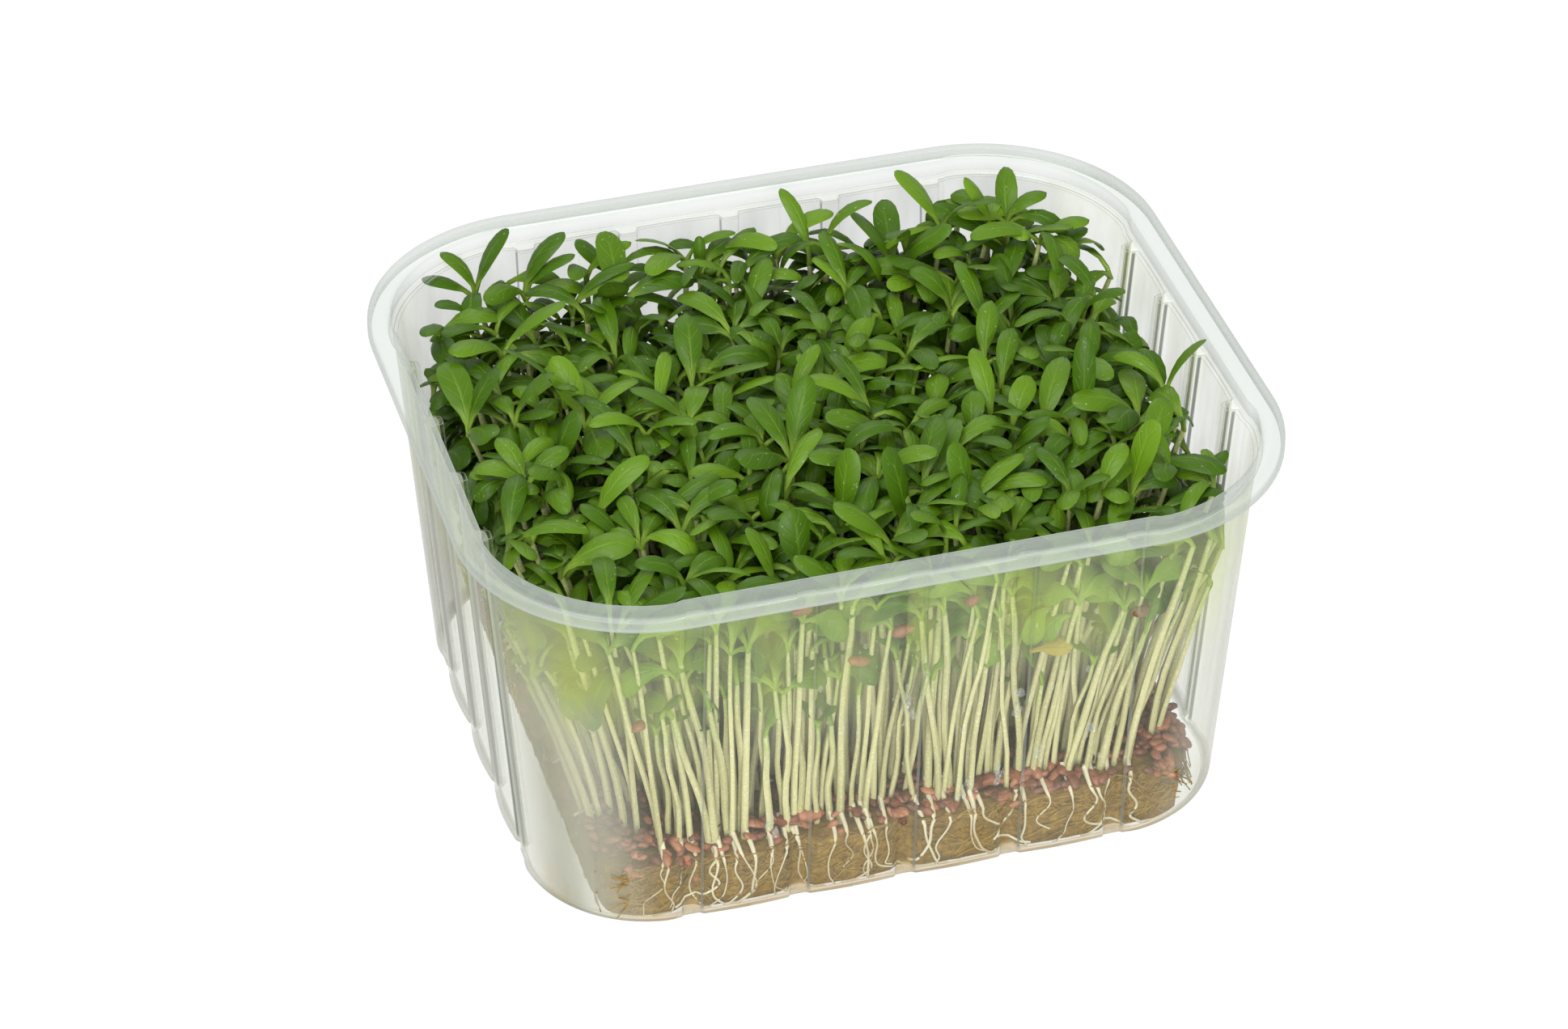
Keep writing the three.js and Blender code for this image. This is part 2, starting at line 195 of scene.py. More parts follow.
# Tall sprigs that stand out of the rest: node, then each leaf's bearing, rise, bend, length and half width
SPRIGS = (
    ((28.6, 33.4, 54.0), ((2.55, 1.37, 0.9, 12.3, 2.2),)),
    ((35.5, 32.4, 54.0), ((2.6, 1.7, 1.1, 9.8, 1.9),)),
    ((38.5, 32.7, 54.0), ((0.05, 1.65, 2.0, 8.9, 1.8),)),
    ((41.6, 27.2, 54.0), ((-0.1, 1.2, 1.6, 8.8, 1.8),)),
    ((11.4, 33.9, 54.0), ((0.05, 1.75, 1.9, 11.5, 1.3),)),
    (
        (-39.4, 40.6, 51.0),
        ((0.15, 1.43, 0.7, 12.1, 1.9), (2.45, 1.7, 1.6, 9.4, 1.5), (2.8, 0.95, 1.1, 8.6, 1.7)),
    ),
    ((-32.4, 38.5, 51.0), ((0.25, 1.7, 1.5, 12.5, 2.0), (-0.25, 1.5, 1.4, 11.3, 1.7))),
    ((-19.5, 39.5, 51.0), ((2.55, 1.25, 0.8, 8.2, 2.0),)),
    ((-7.0, 36.5, 51.0), ((1.3, 1.57, 0.4, 6.7, 1.0),)),
    ((5.2, 38.8, 51.0), ((2.55, 1.0, 1.0, 6.6, 1.8),)),
    ((34.3, -13.4, 48.0), ((1.3, 1.5, 0.25, 16.0, 1.8),)),
    ((-13.5, -35.4, 50.0), ((1.7, 1.6, 0.5, 10.4, 2.5),)),
    ((-4.8, -26.5, 50.0), ((0.8, 1.57, 0.4, 12.4, 2.1),)),
    ((3.6, -29.0, 48.0), ((2.1, 1.55, 0.5, 14.6, 2.2),)),
    ((12.3, -28.6, 50.0), ((2.0, 1.6, 0.6, 11.5, 2.2),)),
    ((35.5, -30.2, 49.0), ((0.5, 1.5, 0.6, 12.5, 2.3),)),
    ((40.2, 1.5, 48.0), ((0.1, 0.75, 1.4, 8.5, 1.7),)),
    ((-38.2, -2.5, 49.0), ((0.35, 1.68, 0.9, 10.9, 2.2),)),
)

# View that the photograph was taken from
PHOTO_SIZE = (1938, 1272)
VIEW_AZIMUTH = math.radians(-16.96)
VIEW_ELEVATION = math.radians(36.47)
VIEW_ROLL = math.radians(0.27)
VIEW_DISTANCE = 748.0
VIEW_TARGET = (0.0, 0.0, 29.3)
VIEW_FOCAL_PIXELS = 6515.0
VIEW_OFFSET_PIXELS = (42.7, 25.9)
SENSOR = 36.0

# Studio: strength of the white surroundings, then each lamp's place in metres, size and power
SURROUNDINGS = 0.72
LAMPS = {
    "key": ((-0.35, -0.35, 0.95), 0.6, 8),
    "back": ((0.1, 0.75, 0.8), 0.7, 3),
    "front": ((-0.15, -1.0, 0.35), 0.8, 15),
}


def mix(a, b, t):
    """Value a share t of the way from a to b."""
    return a + (b - a) * t


def fraction(x):
    """What is left of x above its whole number."""
    return x - np.floor(x)


def draw(seed, k):
    """Seeded draw from 0 to 1 for each pair of whole numbers: the fraction of a large sine."""
    return fraction(np.sin(np.asarray(seed) * 12.9898 + np.asarray(k) * 78.233) * 43758.5453)


def draw_in(span, seed, k):
    """Seeded draw within a span."""
    return mix(span[0], span[1], draw(seed, k))


def smoothstep(low, high, x):
    """0 up to low, 1 from high on, and a cubic between them."""
    t = np.clip((x - low) / (high - low), 0, 1)
    return t * t * (3 - 2 * t)


def ripple(points, scale, seed):
    """Smooth unevenness from -1 to 1: the mean of five sine waves in fixed oblique directions."""
    k = np.arange(5)
    turn = 2 * math.pi * draw(seed, k)
    lift = 2 * draw(seed, k + 10) - 1
    flat = np.sqrt(1 - lift**2)
    way = np.stack([flat * np.cos(turn), flat * np.sin(turn), lift], -1) * (0.6 + draw(seed, k + 20))[:, None]
    return np.sin(points @ way.T * (2 * math.pi / scale) + 6.3 * draw(seed, k + 30)).mean(-1)


def quads(rows, columns):
    """Faces of a tube of rings: four-cornered all along, with a strip of faces across each end ring."""
    r, c = np.meshgrid(np.arange(rows - 1), np.arange(columns), indexing="ij")
    after = (c + 1) % columns
    ring, above = r * columns, (r + 1) * columns
    side = np.stack([ring + c, ring + after, above + after, above + c], -1)
    k = np.arange(columns // 2 - 1)
    cap = np.stack([k, k + 1, columns - 2 - k, columns - 1 - k], -1)
    return np.concatenate([side.reshape(-1, 4), cap[:, ::-1], cap + (rows - 1) * columns])


def make_piece(name, tubes, finishes, sharp=math.radians(60)):
    """Object from tubes of rings.

    Each tube is (points, attributes, slot): points has the shape copies x rings x ring points x 3, and every
    attribute has a number for each point.
    """
    points, faces, slots = [], [], []
    start = 0
    for grid, _, slot in tubes:
        copies, rows, columns = grid.shape[:3]
        shift = start + np.arange(copies) * rows * columns
        faces.append((quads(rows, columns)[None] + shift[:, None, None]).reshape(-1, 4))
        slots.append(np.full(len(faces[-1]), slot))
        points.append(grid.reshape(-1, 3))
        start += copies * rows * columns
    mesh = bpy.data.meshes.new(name)
    mesh.from_pydata(np.concatenate(points) * MM, [], np.concatenate(faces))
    mesh.polygons.foreach_set("material_index", np.concatenate(slots).astype(np.int32))
    for key in sorted({key for _, attributes, _ in tubes for key in attributes}):
        given = [np.broadcast_to(attributes.get(key, 0.0), grid.shape[:3]) for grid, attributes, _ in tubes]
        values = np.concatenate([value.ravel() for value in given]).astype(np.float32)
        mesh.attributes.new(key, "FLOAT", "POINT").data.foreach_set("value", values)
    mesh.shade_smooth()
    mesh.set_sharp_from_angle(angle=sharp)
    piece = bpy.data.objects.new(name, mesh)
    bpy.context.scene.collection.objects.link(piece)
    for finish in finishes:
        mesh.materials.append(finish)
    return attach(piece, "root")


def tube_along(paths, radius, sides):
    """Round tubes: circles of the given radius at right angles to each path, turned with its tangent."""
    along = np.gradient(paths, axis=1)
    along /= np.linalg.norm(along, axis=-1, keepdims=True)
    steep = np.abs(along[..., 2:3]) > 0.8
    side = np.cross(along, np.where(steep, [1.0, 0.0, 0.0], [0.0, 0.0, 1.0]))
    side /= np.linalg.norm(side, axis=-1, keepdims=True)
    over = np.cross(side, along)
    a = 2 * math.pi * np.arange(sides) / sides
    ring = side[:, :, None] * -np.cos(a)[:, None] + over[:, :, None] * np.sin(a)[:, None]
    return paths[:, :, None] + ring * np.asarray(radius)[..., None, None]


class Value:
    """A socket of a finish; arithmetic on it adds Math nodes."""

    def __init__(self, finish, socket):
        self.finish = finish
        self.socket = socket

    def math(self, operation, *others):
        return self.finish.node("ShaderNodeMath", {"operation": operation}, dict(enumerate((self, *others))))

    def __add__(self, other):
        return self.math("ADD", other)

    def __mul__(self, other):
        return self.math("MULTIPLY", other)

    def __sub__(self, other):
        return self.math("SUBTRACT", other)

    def __rsub__(self, other):
        return self.finish.node("ShaderNodeMath", {"operation": "SUBTRACT"}, {0: other, 1: self})

    def __pow__(self, other):
        return self.math("POWER", other)

    __radd__ = __add__
    __rmul__ = __mul__

    def between(self, low, high):
        """0 below low, 1 above high, and smooth between them."""
        span = {"Value": self, "From Min": low, "From Max": high}
        return self.finish.node("ShaderNodeMapRange", {"interpolation_type": "SMOOTHSTEP"}, span)


class Finish:
    """A material whose nodes are added one at a time."""

    def __init__(self, name):
        self.material = bpy.data.materials.new(name)
        self.material.use_nodes = True
        self.tree = self.material.node_tree
        self.tree.nodes.clear()

    def node(self, kind, settings=None, inputs=None, output=0):
        """Add a node: settings first (a ramp's stops among them), then the values or links of its sockets."""
        node = self.tree.nodes.new(kind)
        for key, value in (settings or {}).items():
            if key == "stops":
                for stop, (place, colour) in zip_stops(node.color_ramp, value):
                    stop.position = place
                    stop.color = (*colour, 1)
            else:
                setattr(node, key, value)
        for key, value in (inputs or {}).items():
            if isinstance(value, Value):
                self.tree.links.new(value.socket, node.inputs[key])
            else:
                node.inputs[key].default_value = value
        return Value(self, node.outputs[output])

    def places(self, stretch=(1, 1, 1), turn=(0, 0, 0)):
        """Object coordinates, stretched and turned."""
        here = self.node("ShaderNodeTexCoord", output="Object")
        return self.node("ShaderNodeMapping", None, {"Vector": here, "Rotation": turn, "Scale": stretch})

    def noise(self, grain, detail=3, where=None, roughness=0.5):
        """Noise whose grain is in millimetres."""
        inputs = {"Vector": where or self.places(), "Scale": 1 / (grain * MM)}
        inputs |= {"Detail": detail, "Roughness": roughness}
        return self.node("ShaderNodeTexNoise", None, inputs)

    def attribute(self, name):
        """A mesh's own value at each point."""
        return self.node("ShaderNodeAttribute", {"attribute_name": name}, output="Fac")

    def ramp(self, value, *stops):
        """Colour at a value, between stops of place and colour."""
        return self.node("ShaderNodeValToRGB", {"stops": stops}, {"Fac": value})

    def blend(self, share, first, second):
        """Colour between two colours."""
        inputs = {0: share, 6: colour4(first), 7: colour4(second)}
        return self.node("ShaderNodeMix", {"data_type": "RGBA"}, inputs, 2)

    def bump(self, height, depth, strength=1.0):
        """Normal of a relief whose depth is in millimetres."""
        inputs = {"Height": height, "Distance": depth * MM, "Strength": strength}
        return self.node("ShaderNodeBump", None, inputs)

    def done(self, shader):
        """The finished material, with this shader on its surface."""
        output = self.tree.nodes.new("ShaderNodeOutputMaterial")
        self.tree.links.new(shader.socket, output.inputs["Surface"])
        return self.material


def zip_stops(ramp, stops):
    """A ramp's elements, as many as there are stops, each with its stop."""
    while len(ramp.elements) < len(stops):
        ramp.elements.new(0.5)
    return zip(ramp.elements, stops)


def colour4(colour):
    """A colour with full opacity, or a socket as it is."""
    return colour if isinstance(colour, Value) else (*colour, 1)


def clear_plastic():
    """Thin clear plastic: milky in the rim, with painted lines of shade and highlight along its creases and
    flute edges, fogged below the rim and at its ends.
    """
    f = Finish("clear_plastic")
    place = f.node("ShaderNodeTexCoord", output="Object")
    x, y, height = (f.node("ShaderNodeSeparateXYZ", None, {0: place}, k) for k in range(3))
    cloud = f.noise(9, 3, f.places((1, 1, 0.35)))
    streak = f.noise(3, 2, f.places((0.1, 0.1, 1)))
    outer = f.attribute("outer")

    # Parts of the tub
    reach = x.math("ABSOLUTE") - 0.14 * height
    beside = 0.5 * reach.between(0.0412, 0.0452) + 0.5 * reach.between(0.033, 0.043)
    corner = beside * (0.35 + 0.65 * y.math("ABSOLUTE").between(0.026, 0.036))
    before = 1 - y.between(-0.046, -0.040)
    far = y.between(0.036, 0.042)
    rim = height.between(0.0545, 0.0562)
    behind = far * (1 - rim)
    wall = height.between(0.0008, 0.0018) * (1 - height.between(0.0546, 0.0552))
    foot = (1 - height.between(0.0012, 0.0026)) * (1 - beside)

    # Painted lines of shade and highlight along the profile's creases and the flutes' edges, which fade low
    # on the front wall
    off = f.attribute("away")
    flank = (off.math("ABSOLUTE") - 0.45).math("ABSOLUTE")
    painted_line = (1 - flank.between(0.012, 0.05)) * wall * outer
    painted_line_weight = 1.3 - before * (1.3 - 0.4 * height.between(0.008, 0.024)) - 0.5 * behind
    crease = f.attribute("crease") + painted_line_weight * painted_line

    # Fog under the rim, smears by the mat and mist at the ends
    fog = cloud.between(0.25, 0.7) * height.between(0.024, 0.044) * (1 - rim)
    smear = (1 - height.between(0.006, 0.017)) * cloud.between(0.2, 0.7) * (1 - beside)
    low = (1 - 0.6 * height.between(0.028, 0.044)) * (1 - 0.45 * x.between(-0.01, 0.01))
    mist = corner * (1 - rim) * low * (0.75 + 0.3 * cloud)
    haze = 0.03 + 0.24 * fog + 0.03 * cloud + 0.84 * mist + 0.13 * smear
    haze = haze + (0.3 + 0.12 * streak) * (1 - 0.4 * far) * rim
    haze = haze + 0.4 * foot + 0.14 * behind
    milk = haze * outer + 0.55 * crease

    # Colours of all these
    colour = f.blend(cloud, (0.6, 0.61, 0.5), (0.7, 0.71, 0.6))
    colour = f.blend(fog, colour, (0.47, 0.54, 0.17))
    colour = f.blend(behind, colour, (0.3, 0.32, 0.3))
    colour = f.blend(smear, colour, (0.32, 0.22, 0.08))
    colour = f.blend(foot, colour, (0.3, 0.2, 0.06))
    stain = f.blend(cloud.between(0.45, 0.7), (0.18, 0.18, 0.125), (0.21, 0.17, 0.09))
    colour = f.blend(mist, colour, stain)
    colour = f.blend(rim, colour, (0.34, 0.375, 0.34))
    # Colour of the painted lines: a painted highlight on the left edge of each flute on the front wall,
    # painted shade on all other edges, paler in the rim
    painted_lit_edge = before * (1 - off.between(-0.1, 0.1))
    edge = f.blend(painted_lit_edge, (0.17, 0.19, 0.17), (0.74, 0.78, 0.7))
    edge = f.blend(rim, edge, (0.55, 0.6, 0.55))
    colour = f.blend(crease, colour, edge)

    skin = {"Base Color": colour, "Roughness": 0.6, "Specular IOR Level": 0.1}
    skin = f.node("ShaderNodeBsdfPrincipled", None, skin)
    thin = f.node("ShaderNodeBsdfTransparent", None, {"Color": (0.955, 0.96, 0.95, 1)})
    thick = f.node("ShaderNodeBsdfTransparent", None, {"Color": (0.965, 0.97, 0.965, 1)})
    through = f.node("ShaderNodeMixShader", None, {0: rim, 1: thin, 2: thick})
    body = f.node("ShaderNodeMixShader", None, {0: milk, 1: through, 2: skin})
    gloss = f.node("ShaderNodeBsdfGlossy", None, {"Color": (1, 1, 1, 1), "Roughness": 0.12})
    glance = f.node("ShaderNodeLayerWeight", None, {"Blend": 0.5}, "Facing")
    return f.done(f.node("ShaderNodeMixShader", None, {0: 0.005 + 0.3 * glance**5, 1: body, 2: gloss}))


def leaf_green(name="cress_leaf", greens=LEAF_GREENS, stalk_colour=LEAF_STALK):
    """Satin seed leaf: a green picked by its tone, which holds painted light and shade, paler stalk and
    midrib, side veins, pale specks, dull underside.
    """
    f = Finish(name)
    along, across = f.attribute("along"), f.attribute("across")
    tone, under = f.attribute("tone"), f.attribute("under")
    # The tone paints leaves high up and at the front lighter and low ones darker; the rest of it is each
    # leaf's own random green
    green = f.ramp(tone, *zip((0.0, 0.5, 1.0), greens))
    mottle = f.noise(1.6, 3)
    green = f.blend(mottle * 0.3, green, (0.07, 0.15, 0.006))
    reach = across.math("ABSOLUTE")
    rib = (1 - reach.between(0.0, 0.16)) * (1 - along.between(0.6, 0.95))
    vein = ((along * 34 - reach * 9).math("SINE")).between(0.72, 1.0) * (1 - reach.between(0.6, 0.95))
    green = f.blend(rib * 0.25 + vein * 0.08, green, (0.15, 0.28, 0.02))
    speck = f.noise(0.45, 1).between(0.73, 0.77)
    green = f.blend(speck * 0.35, green, (0.5, 0.55, 0.35))
    stalk = 1 - along.between(0.1, 0.42)
    green = f.blend(stalk * 0.7, green, stalk_colour)
    green = f.blend(under * 0.4, green, (0.13, 0.23, 0.02))
    relief = f.bump(rib * -0.8 - vein * 0.5 + mottle * 0.3, 0.08)
    skin = {"Base Color": green, "Roughness": 0.32 + 0.12 * mottle + 0.15 * under, "Normal": relief}
    skin["Specular IOR Level"] = 0.2
    face = f.node("ShaderNodeBsdfPrincipled", None, skin)
    glow = f.node("ShaderNodeBsdfTranslucent", None, {"Color": (0.3, 0.46, 0.03, 1)})
    return f.done(f.node("ShaderNodeMixShader", None, {0: 0.12, 1: face, 2: glow}))


def stem_cream():
    """Pale stem: nearly white at the mat, faintly yellow-green towards the leaves, with pale specks painted
    as glints of condensation drops.
    """
    f = Finish("cress_stem")
    rise, tone = f.attribute("along"), f.attribute("tone")
    fibre = f.noise(0.9, 3, f.places((1, 1, 0.08)))
    pale = f.blend(tone, (0.49, 0.465, 0.23), (0.37, 0.35, 0.155))
    colour = f.blend(rise.between(0.6, 1.0), pale, (0.28, 0.34, 0.09))
    colour = f.blend(fibre * 0.3, colour, (0.52, 0.5, 0.32))
    # Pale specks: painted glints of tiny condensation drops on the stem
    speck = f.noise(0.35, 2)
    colour = f.blend(speck.between(0.52, 0.68) * 0.4, colour, (0.7, 0.68, 0.5))
    skin = {"Base Color": colour, "Roughness": 0.38 + 0.2 * fibre, "Normal": f.bump(fibre, 0.06)}
    skin |= {"Subsurface Weight": 0.2, "Subsurface Radius": (1, 0.9, 0.5), "Subsurface Scale": 0.6 * MM}
    return f.done(f.node("ShaderNodeBsdfPrincipled", None, skin))


def mat_fibre():
    """Damp fibre mat: ochre strands crossing two ways over a darker, wetter ground."""
    f = Finish("mat_fibre")
    strands = f.noise(0.9, 6, f.places((1, 1, 0.4), (0.5, 0.2, 0.7)), 0.7)
    crossing = f.noise(0.7, 6, f.places((0.35, 1, 1), (-0.4, 0.5, -0.3)), 0.7)
    wet = f.noise(9, 3)
    tone = f.attribute("tone")
    weave = strands * 0.5 + crossing * 0.5
    dark, ochre, straw = (0.05, 0.024, 0.001), (0.19, 0.104, 0.006), (0.37, 0.23, 0.03)
    colour = f.ramp(weave, (0.34, dark), (0.5, ochre), (0.66, straw))
    colour = f.blend(wet.between(0.45, 0.7) * 0.7, colour, (0.085, 0.046, 0.007))
    colour = f.blend(tone * 0.5, colour, (0.34, 0.22, 0.045))
    skin = {"Base Color": colour, "Roughness": 0.85 - 0.3 * wet, "Normal": f.bump(weave, 0.5)}
    return f.done(f.node("ShaderNodeBsdfPrincipled", None, skin))


def hull_brown():
    """Wet seed hull: red-brown, each its own shade, with darker creases and a dull gloss."""
    f = Finish("seed_hull")
    tone = f.attribute("tone")
    crease = f.noise(0.7, 4)
    dark, red, tan = (0.09, 0.03, 0.014), (0.2, 0.064, 0.03), (0.33, 0.13, 0.06)
    colour = f.ramp(tone, (0.0, dark), (0.55, red), (1.0, tan))
    colour = f.blend(crease.between(0.5, 0.75) * 0.5, colour, (0.11, 0.033, 0.015))
    skin = {"Base Color": colour, "Roughness": 0.3 + 0.35 * crease, "Normal": f.bump(crease, 0.2)}
    return f.done(f.node("ShaderNodeBsdfPrincipled", None, skin))


def root_white():
    """Root thread: white and slightly glassy, browned in places by the mat."""
    f = Finish("root_thread")
    stain = f.noise(5, 3).between(0.5, 0.8)
    fuzz = f.noise(0.5, 3)
    colour = f.blend(stain * 0.6, (0.55, 0.5, 0.35), (0.34, 0.24, 0.1))
    skin = {"Base Color": colour, "Roughness": 0.35 + 0.2 * fuzz, "Normal": f.bump(fuzz, 0.08)}
    return f.done(f.node("ShaderNodeBsdfPrincipled", None, skin))


def water():
    """Clear water: see-through at its middle and bright along its edge."""
    f = Finish("water")
    edge = f.node("ShaderNodeLayerWeight", None, {"Blend": 0.45}, "Facing")
    gloss = f.node("ShaderNodeBsdfGlossy", None, {"Color": (1, 1, 1, 1), "Roughness": 0.03})
    through = f.node("ShaderNodeBsdfTransparent", None, {"Color": (0.95, 0.97, 0.96, 1)})
    ripples = f.noise(3, 2)
    shine = 0.06 + 0.6 * edge**2 + 0.05 * ripples
    return f.done(f.node("ShaderNodeMixShader", None, {0: shine, 1: through, 2: gloss}))


def flute_shares(s, flutes):
    """Shares along a straight side: flute, a trough with steep flanks, and bulge, a parabola between flutes.

    Last is the distance from the nearest flute's middle in flute widths, below 0 to the left of it.
    """
    count, pitch, width = flutes["count"], flutes["pitch"], flutes["width"]
    nearest = (np.clip(np.round(s / pitch + (count - 1) / 2), 0, count - 1) - (count - 1) / 2) * pitch
    away = np.abs(s - nearest)
    flute = 1 - smoothstep(width * FLUTE_FLANK[0], width * FLUTE_FLANK[1], away)
    within = np.abs(s) < pitch * (count - 1) / 2
    bulge = np.where(within, 1 - (1 - 2 * away / pitch) ** 2, 0)
    return flute, bulge, (s - nearest) / width


def side_stations(half, flutes, spacing):
    """Places along one straight side, closest at the flutes' edges, and the flutes' shares there."""
    middles = (np.arange(flutes["count"]) - (flutes["count"] - 1) / 2) * flutes["pitch"]
    across = FLUTE_STATIONS * flutes["width"]
    plain = np.linspace(-half, half, int(2 * half / spacing))
    plain = plain[np.abs(plain[:, None] - middles).min(1) > across[-1] + spacing / 2]
    s = np.sort(np.concatenate([plain, (middles[:, None] + across).ravel()]))
    return s, *flute_shares(s, flutes)


def rim_stations(spacing=0.9, corner_steps=26):
    """Points, normals and shares round the tub's core rectangle, a side and a quarter turn at a time."""
    rows = []
    for side in range(4):
        angle = side * math.pi / 2
        normal = np.array([math.cos(angle), math.sin(angle)])
        along = np.array([-normal[1], normal[0]])
        out, half = CORE[side % 2], CORE[1 - side % 2]
        s, flute, bulge, away = side_stations(half, (FLUTES_SHORT, FLUTES_LONG)[side % 2], spacing)
        place = normal * out + along * s[:, None]
        one = np.ones(len(s))
        rows.append(np.column_stack([place, np.outer(one, normal), one, flute, bulge, away]))
        turn = np.linspace(0, math.pi / 2, corner_steps + 1)[1:-1]
        step = 1 - smoothstep(0, STEP_TURN, np.minimum(turn, math.pi / 2 - turn))
        corner = np.outer(np.ones(len(turn)), normal * out + along * half)
        facing = np.column_stack([np.cos(angle + turn), np.sin(angle + turn)])
        rows.append(np.column_stack([corner, facing, step, 0 * turn, 0 * turn, 0 * turn + 2]))
    return np.concatenate(rows)


def wall_radius(z):
    """Outer face of the plain drafted wall at height z."""
    return mix(BASE_CORNER, MOUTH, z / RIM_HEIGHT)


def shell_face(inset, steps=9):
    """One face of the wall from floor to mouth: rows of radius, height and shares.

    The floor is flat, the base edge a quarter circle, the wall a straight draft, and the ledge a smooth step.
    The shares are of step, flute, bulge and crease, the weight of the painted line of shade and highlight
    along a crease.
    """
    round_off = BASE_ROUND - inset
    foot = wall_radius(BASE_ROUND) - LEDGE - inset - round_off
    a = np.linspace(0, math.pi / 2, steps)
    share = a / (math.pi / 2)
    floor = [[foot * k, inset, 0, 0, 0, 0] for k in (0.02, 0.5)]
    r = foot + round_off * np.sin(a)
    base = np.column_stack([r, inset + round_off * (1 - np.cos(a)), share, share, share, 0.5 * np.sin(2 * a)])
    z = np.linspace(BASE_ROUND, LEDGE_HEIGHT - 0.35, 12)[1:]
    up = (z - BASE_ROUND) / (LEDGE_HEIGHT - BASE_ROUND)
    one = np.ones(len(z))
    wall = np.column_stack([wall_radius(z) - LEDGE - inset, z, one, one, mix(1, 0.3, up), 0 * z])
    k = np.array([0, 0.15, 0.3, 0.7, 0.85, 1])
    ease = smoothstep(0.1, 0.9, k)
    z = LEDGE_HEIGHT + (LEDGE + 0.2) * (k - 0.2)
    r = wall_radius(z) - LEDGE * (1 - ease) - inset
    # Weight of the painted line of shade and highlight along the ledge
    ledge_painted_lines = np.array([0, 0.9, 0, 0, 0.6, 0])
    ledge = np.column_stack([r, z, np.ones(6), 1 - ease, 0.3 * (1 - ease), ledge_painted_lines])
    return np.concatenate([floor, base, wall, ledge])


def rim_rows():
    """Under and upper side of the flange and its turned-down skirt, each edge rounded by part of a circle."""
    def rounded(r, z, radius, start, end, crease):
        a = np.radians(np.linspace(start, end, 5))
        row = np.column_stack([r + radius * np.cos(a), z + radius * np.sin(a), np.zeros((5, 4))])
        # The crease share weights the painted line of shade and highlight along this rounded edge
        row[:, 5] = crease * np.sin(np.linspace(0, math.pi, 5))
        return row

    low = RIM_HEIGHT - SKIRT
    lip = WALL / 2
    inside = RIM_CORNER - WALL
    mouth = MOUTH - WALL
    under = np.array([
        [MOUTH, RIM_HEIGHT - 1.6, 1, 0, 0, 0],
        [MOUTH + 0.12, RIM_HEIGHT - WALL - 0.2, 1, 0, 0, 0],
        [MOUTH + 0.5, RIM_HEIGHT - WALL, 0.7, 0, 0, 0],
        [inside - 0.4, RIM_HEIGHT - WALL, 0, 0, 0, 0],
        [inside, RIM_HEIGHT - WALL - 0.4, 0, 0, 0, 0],
    ])
    upper = np.concatenate([
        rounded(RIM_CORNER - lip, low + lip, lip, 180, 360, 0.4),
        rounded(RIM_CORNER - 0.7, RIM_HEIGHT - 0.7, 0.7, 0, 90, 0.1),
        [[mouth + 0.9, RIM_HEIGHT, 0.7, 0, 0, 0], [mouth + 0.35, RIM_HEIGHT - 0.02, 1, 0, 0, 0]],
        [[mouth + 0.08, RIM_HEIGHT - 0.2, 1, 0, 0, 0.7], [mouth, RIM_HEIGHT - 0.5, 1, 0, 0, 0]],
    ])
    return under, upper


def carry(profile, stations):
    """Profile rows carried round the stations: out by the radius, less step and flute, plus bulge."""
    r, z, step, flute, bulge = profile.T[:5, :, None]
    x, y, nx, ny, s_step, s_flute, s_bulge = stations.T[:7, None, :]
    reach = r - SIDE_STEP * step * s_step - FLUTE_DEPTH * flute * s_flute + PANEL_BULGE * bulge * s_bulge
    shrink = np.minimum(r, 1)
    return np.stack([x * shrink + nx * reach, y * shrink + ny * reach, z + 0 * reach], -1)


def against_wall(x, z):
    """Distance of the front and back walls' inner face from the tub's middle, at a place x and a height z."""
    rows = shell_face(WALL)[2:]
    r, step, flute, bulge = (np.interp(z, rows[:, 1], rows[:, k]) for k in (0, 2, 3, 4))
    s_flute, s_bulge, _ = flute_shares(x, FLUTES_LONG)
    return CORE[1] + r - SIDE_STEP * step - FLUTE_DEPTH * flute * s_flute + PANEL_BULGE * bulge * s_bulge


def slid(points, gap=None):
    """Points at the mat's two ends moved outwards, and held a gap inside the wall if one is given."""
    points = points.copy()
    x = points[..., 0]
    left, right = MAT_SLIDE
    points[..., 0] = x - left * smoothstep(*SLIDE_ZONE, -x) + right * smoothstep(*SLIDE_ZONE, x)
    if gap is None:
        return points
    rows = shell_face(WALL)[2:]
    limit = np.interp(points[..., 2], rows[:, 1], rows[:, 0]) - gap
    beyond = np.maximum(np.abs(points[..., :2]) - CORE, 0)
    reach = np.maximum(np.hypot(beyond[..., 0], beyond[..., 1]), 1e-6)
    excess = beyond * (1 - np.minimum(limit / reach, 1))[..., None]
    points[..., :2] -= np.sign(points[..., :2]) * excess
    return points


def make_tub():
    """The tub: one profile from the underside's middle out, up, round the rim and back down the inside."""
    faces = [shell_face(0), *rim_rows(), shell_face(WALL)[::-1]]
    profile = np.concatenate(faces)
    outer = np.concatenate([np.full(len(rows), share) for rows, share in zip(faces, (1.0, 0.0, 1.0, 0.0))])
    stations = rim_stations()
    # crease weights the painted lines of shade and highlight along the profile's creases, and away places
    # those at the flutes' edges
    given = {"crease": profile[:, 5, None], "away": stations[:, 7], "outer": outer[:, None]}
    shell = (carry(profile, stations)[None], given, 0)
    tub = make_piece("tub_shell", [shell], [clear_plastic()], math.radians(70))
    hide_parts("tub")


def in_tub(points, clearance):
    """Which points keep a clearance from the tub's wall and stay below the height limit."""
    r = np.hypot(*np.maximum(np.abs(points[:, :2]) - CORE, 0).T)
    z = points[:, 2]
    wall = wall_radius(np.minimum(z, RIM_HEIGHT)) - WALL - SIDE_STEP
    ribs = np.where(z < RIM_HEIGHT, LEDGE + FLUTE_DEPTH, 0)
    return (z < TALLEST) & (r < wall - ribs - clearance)


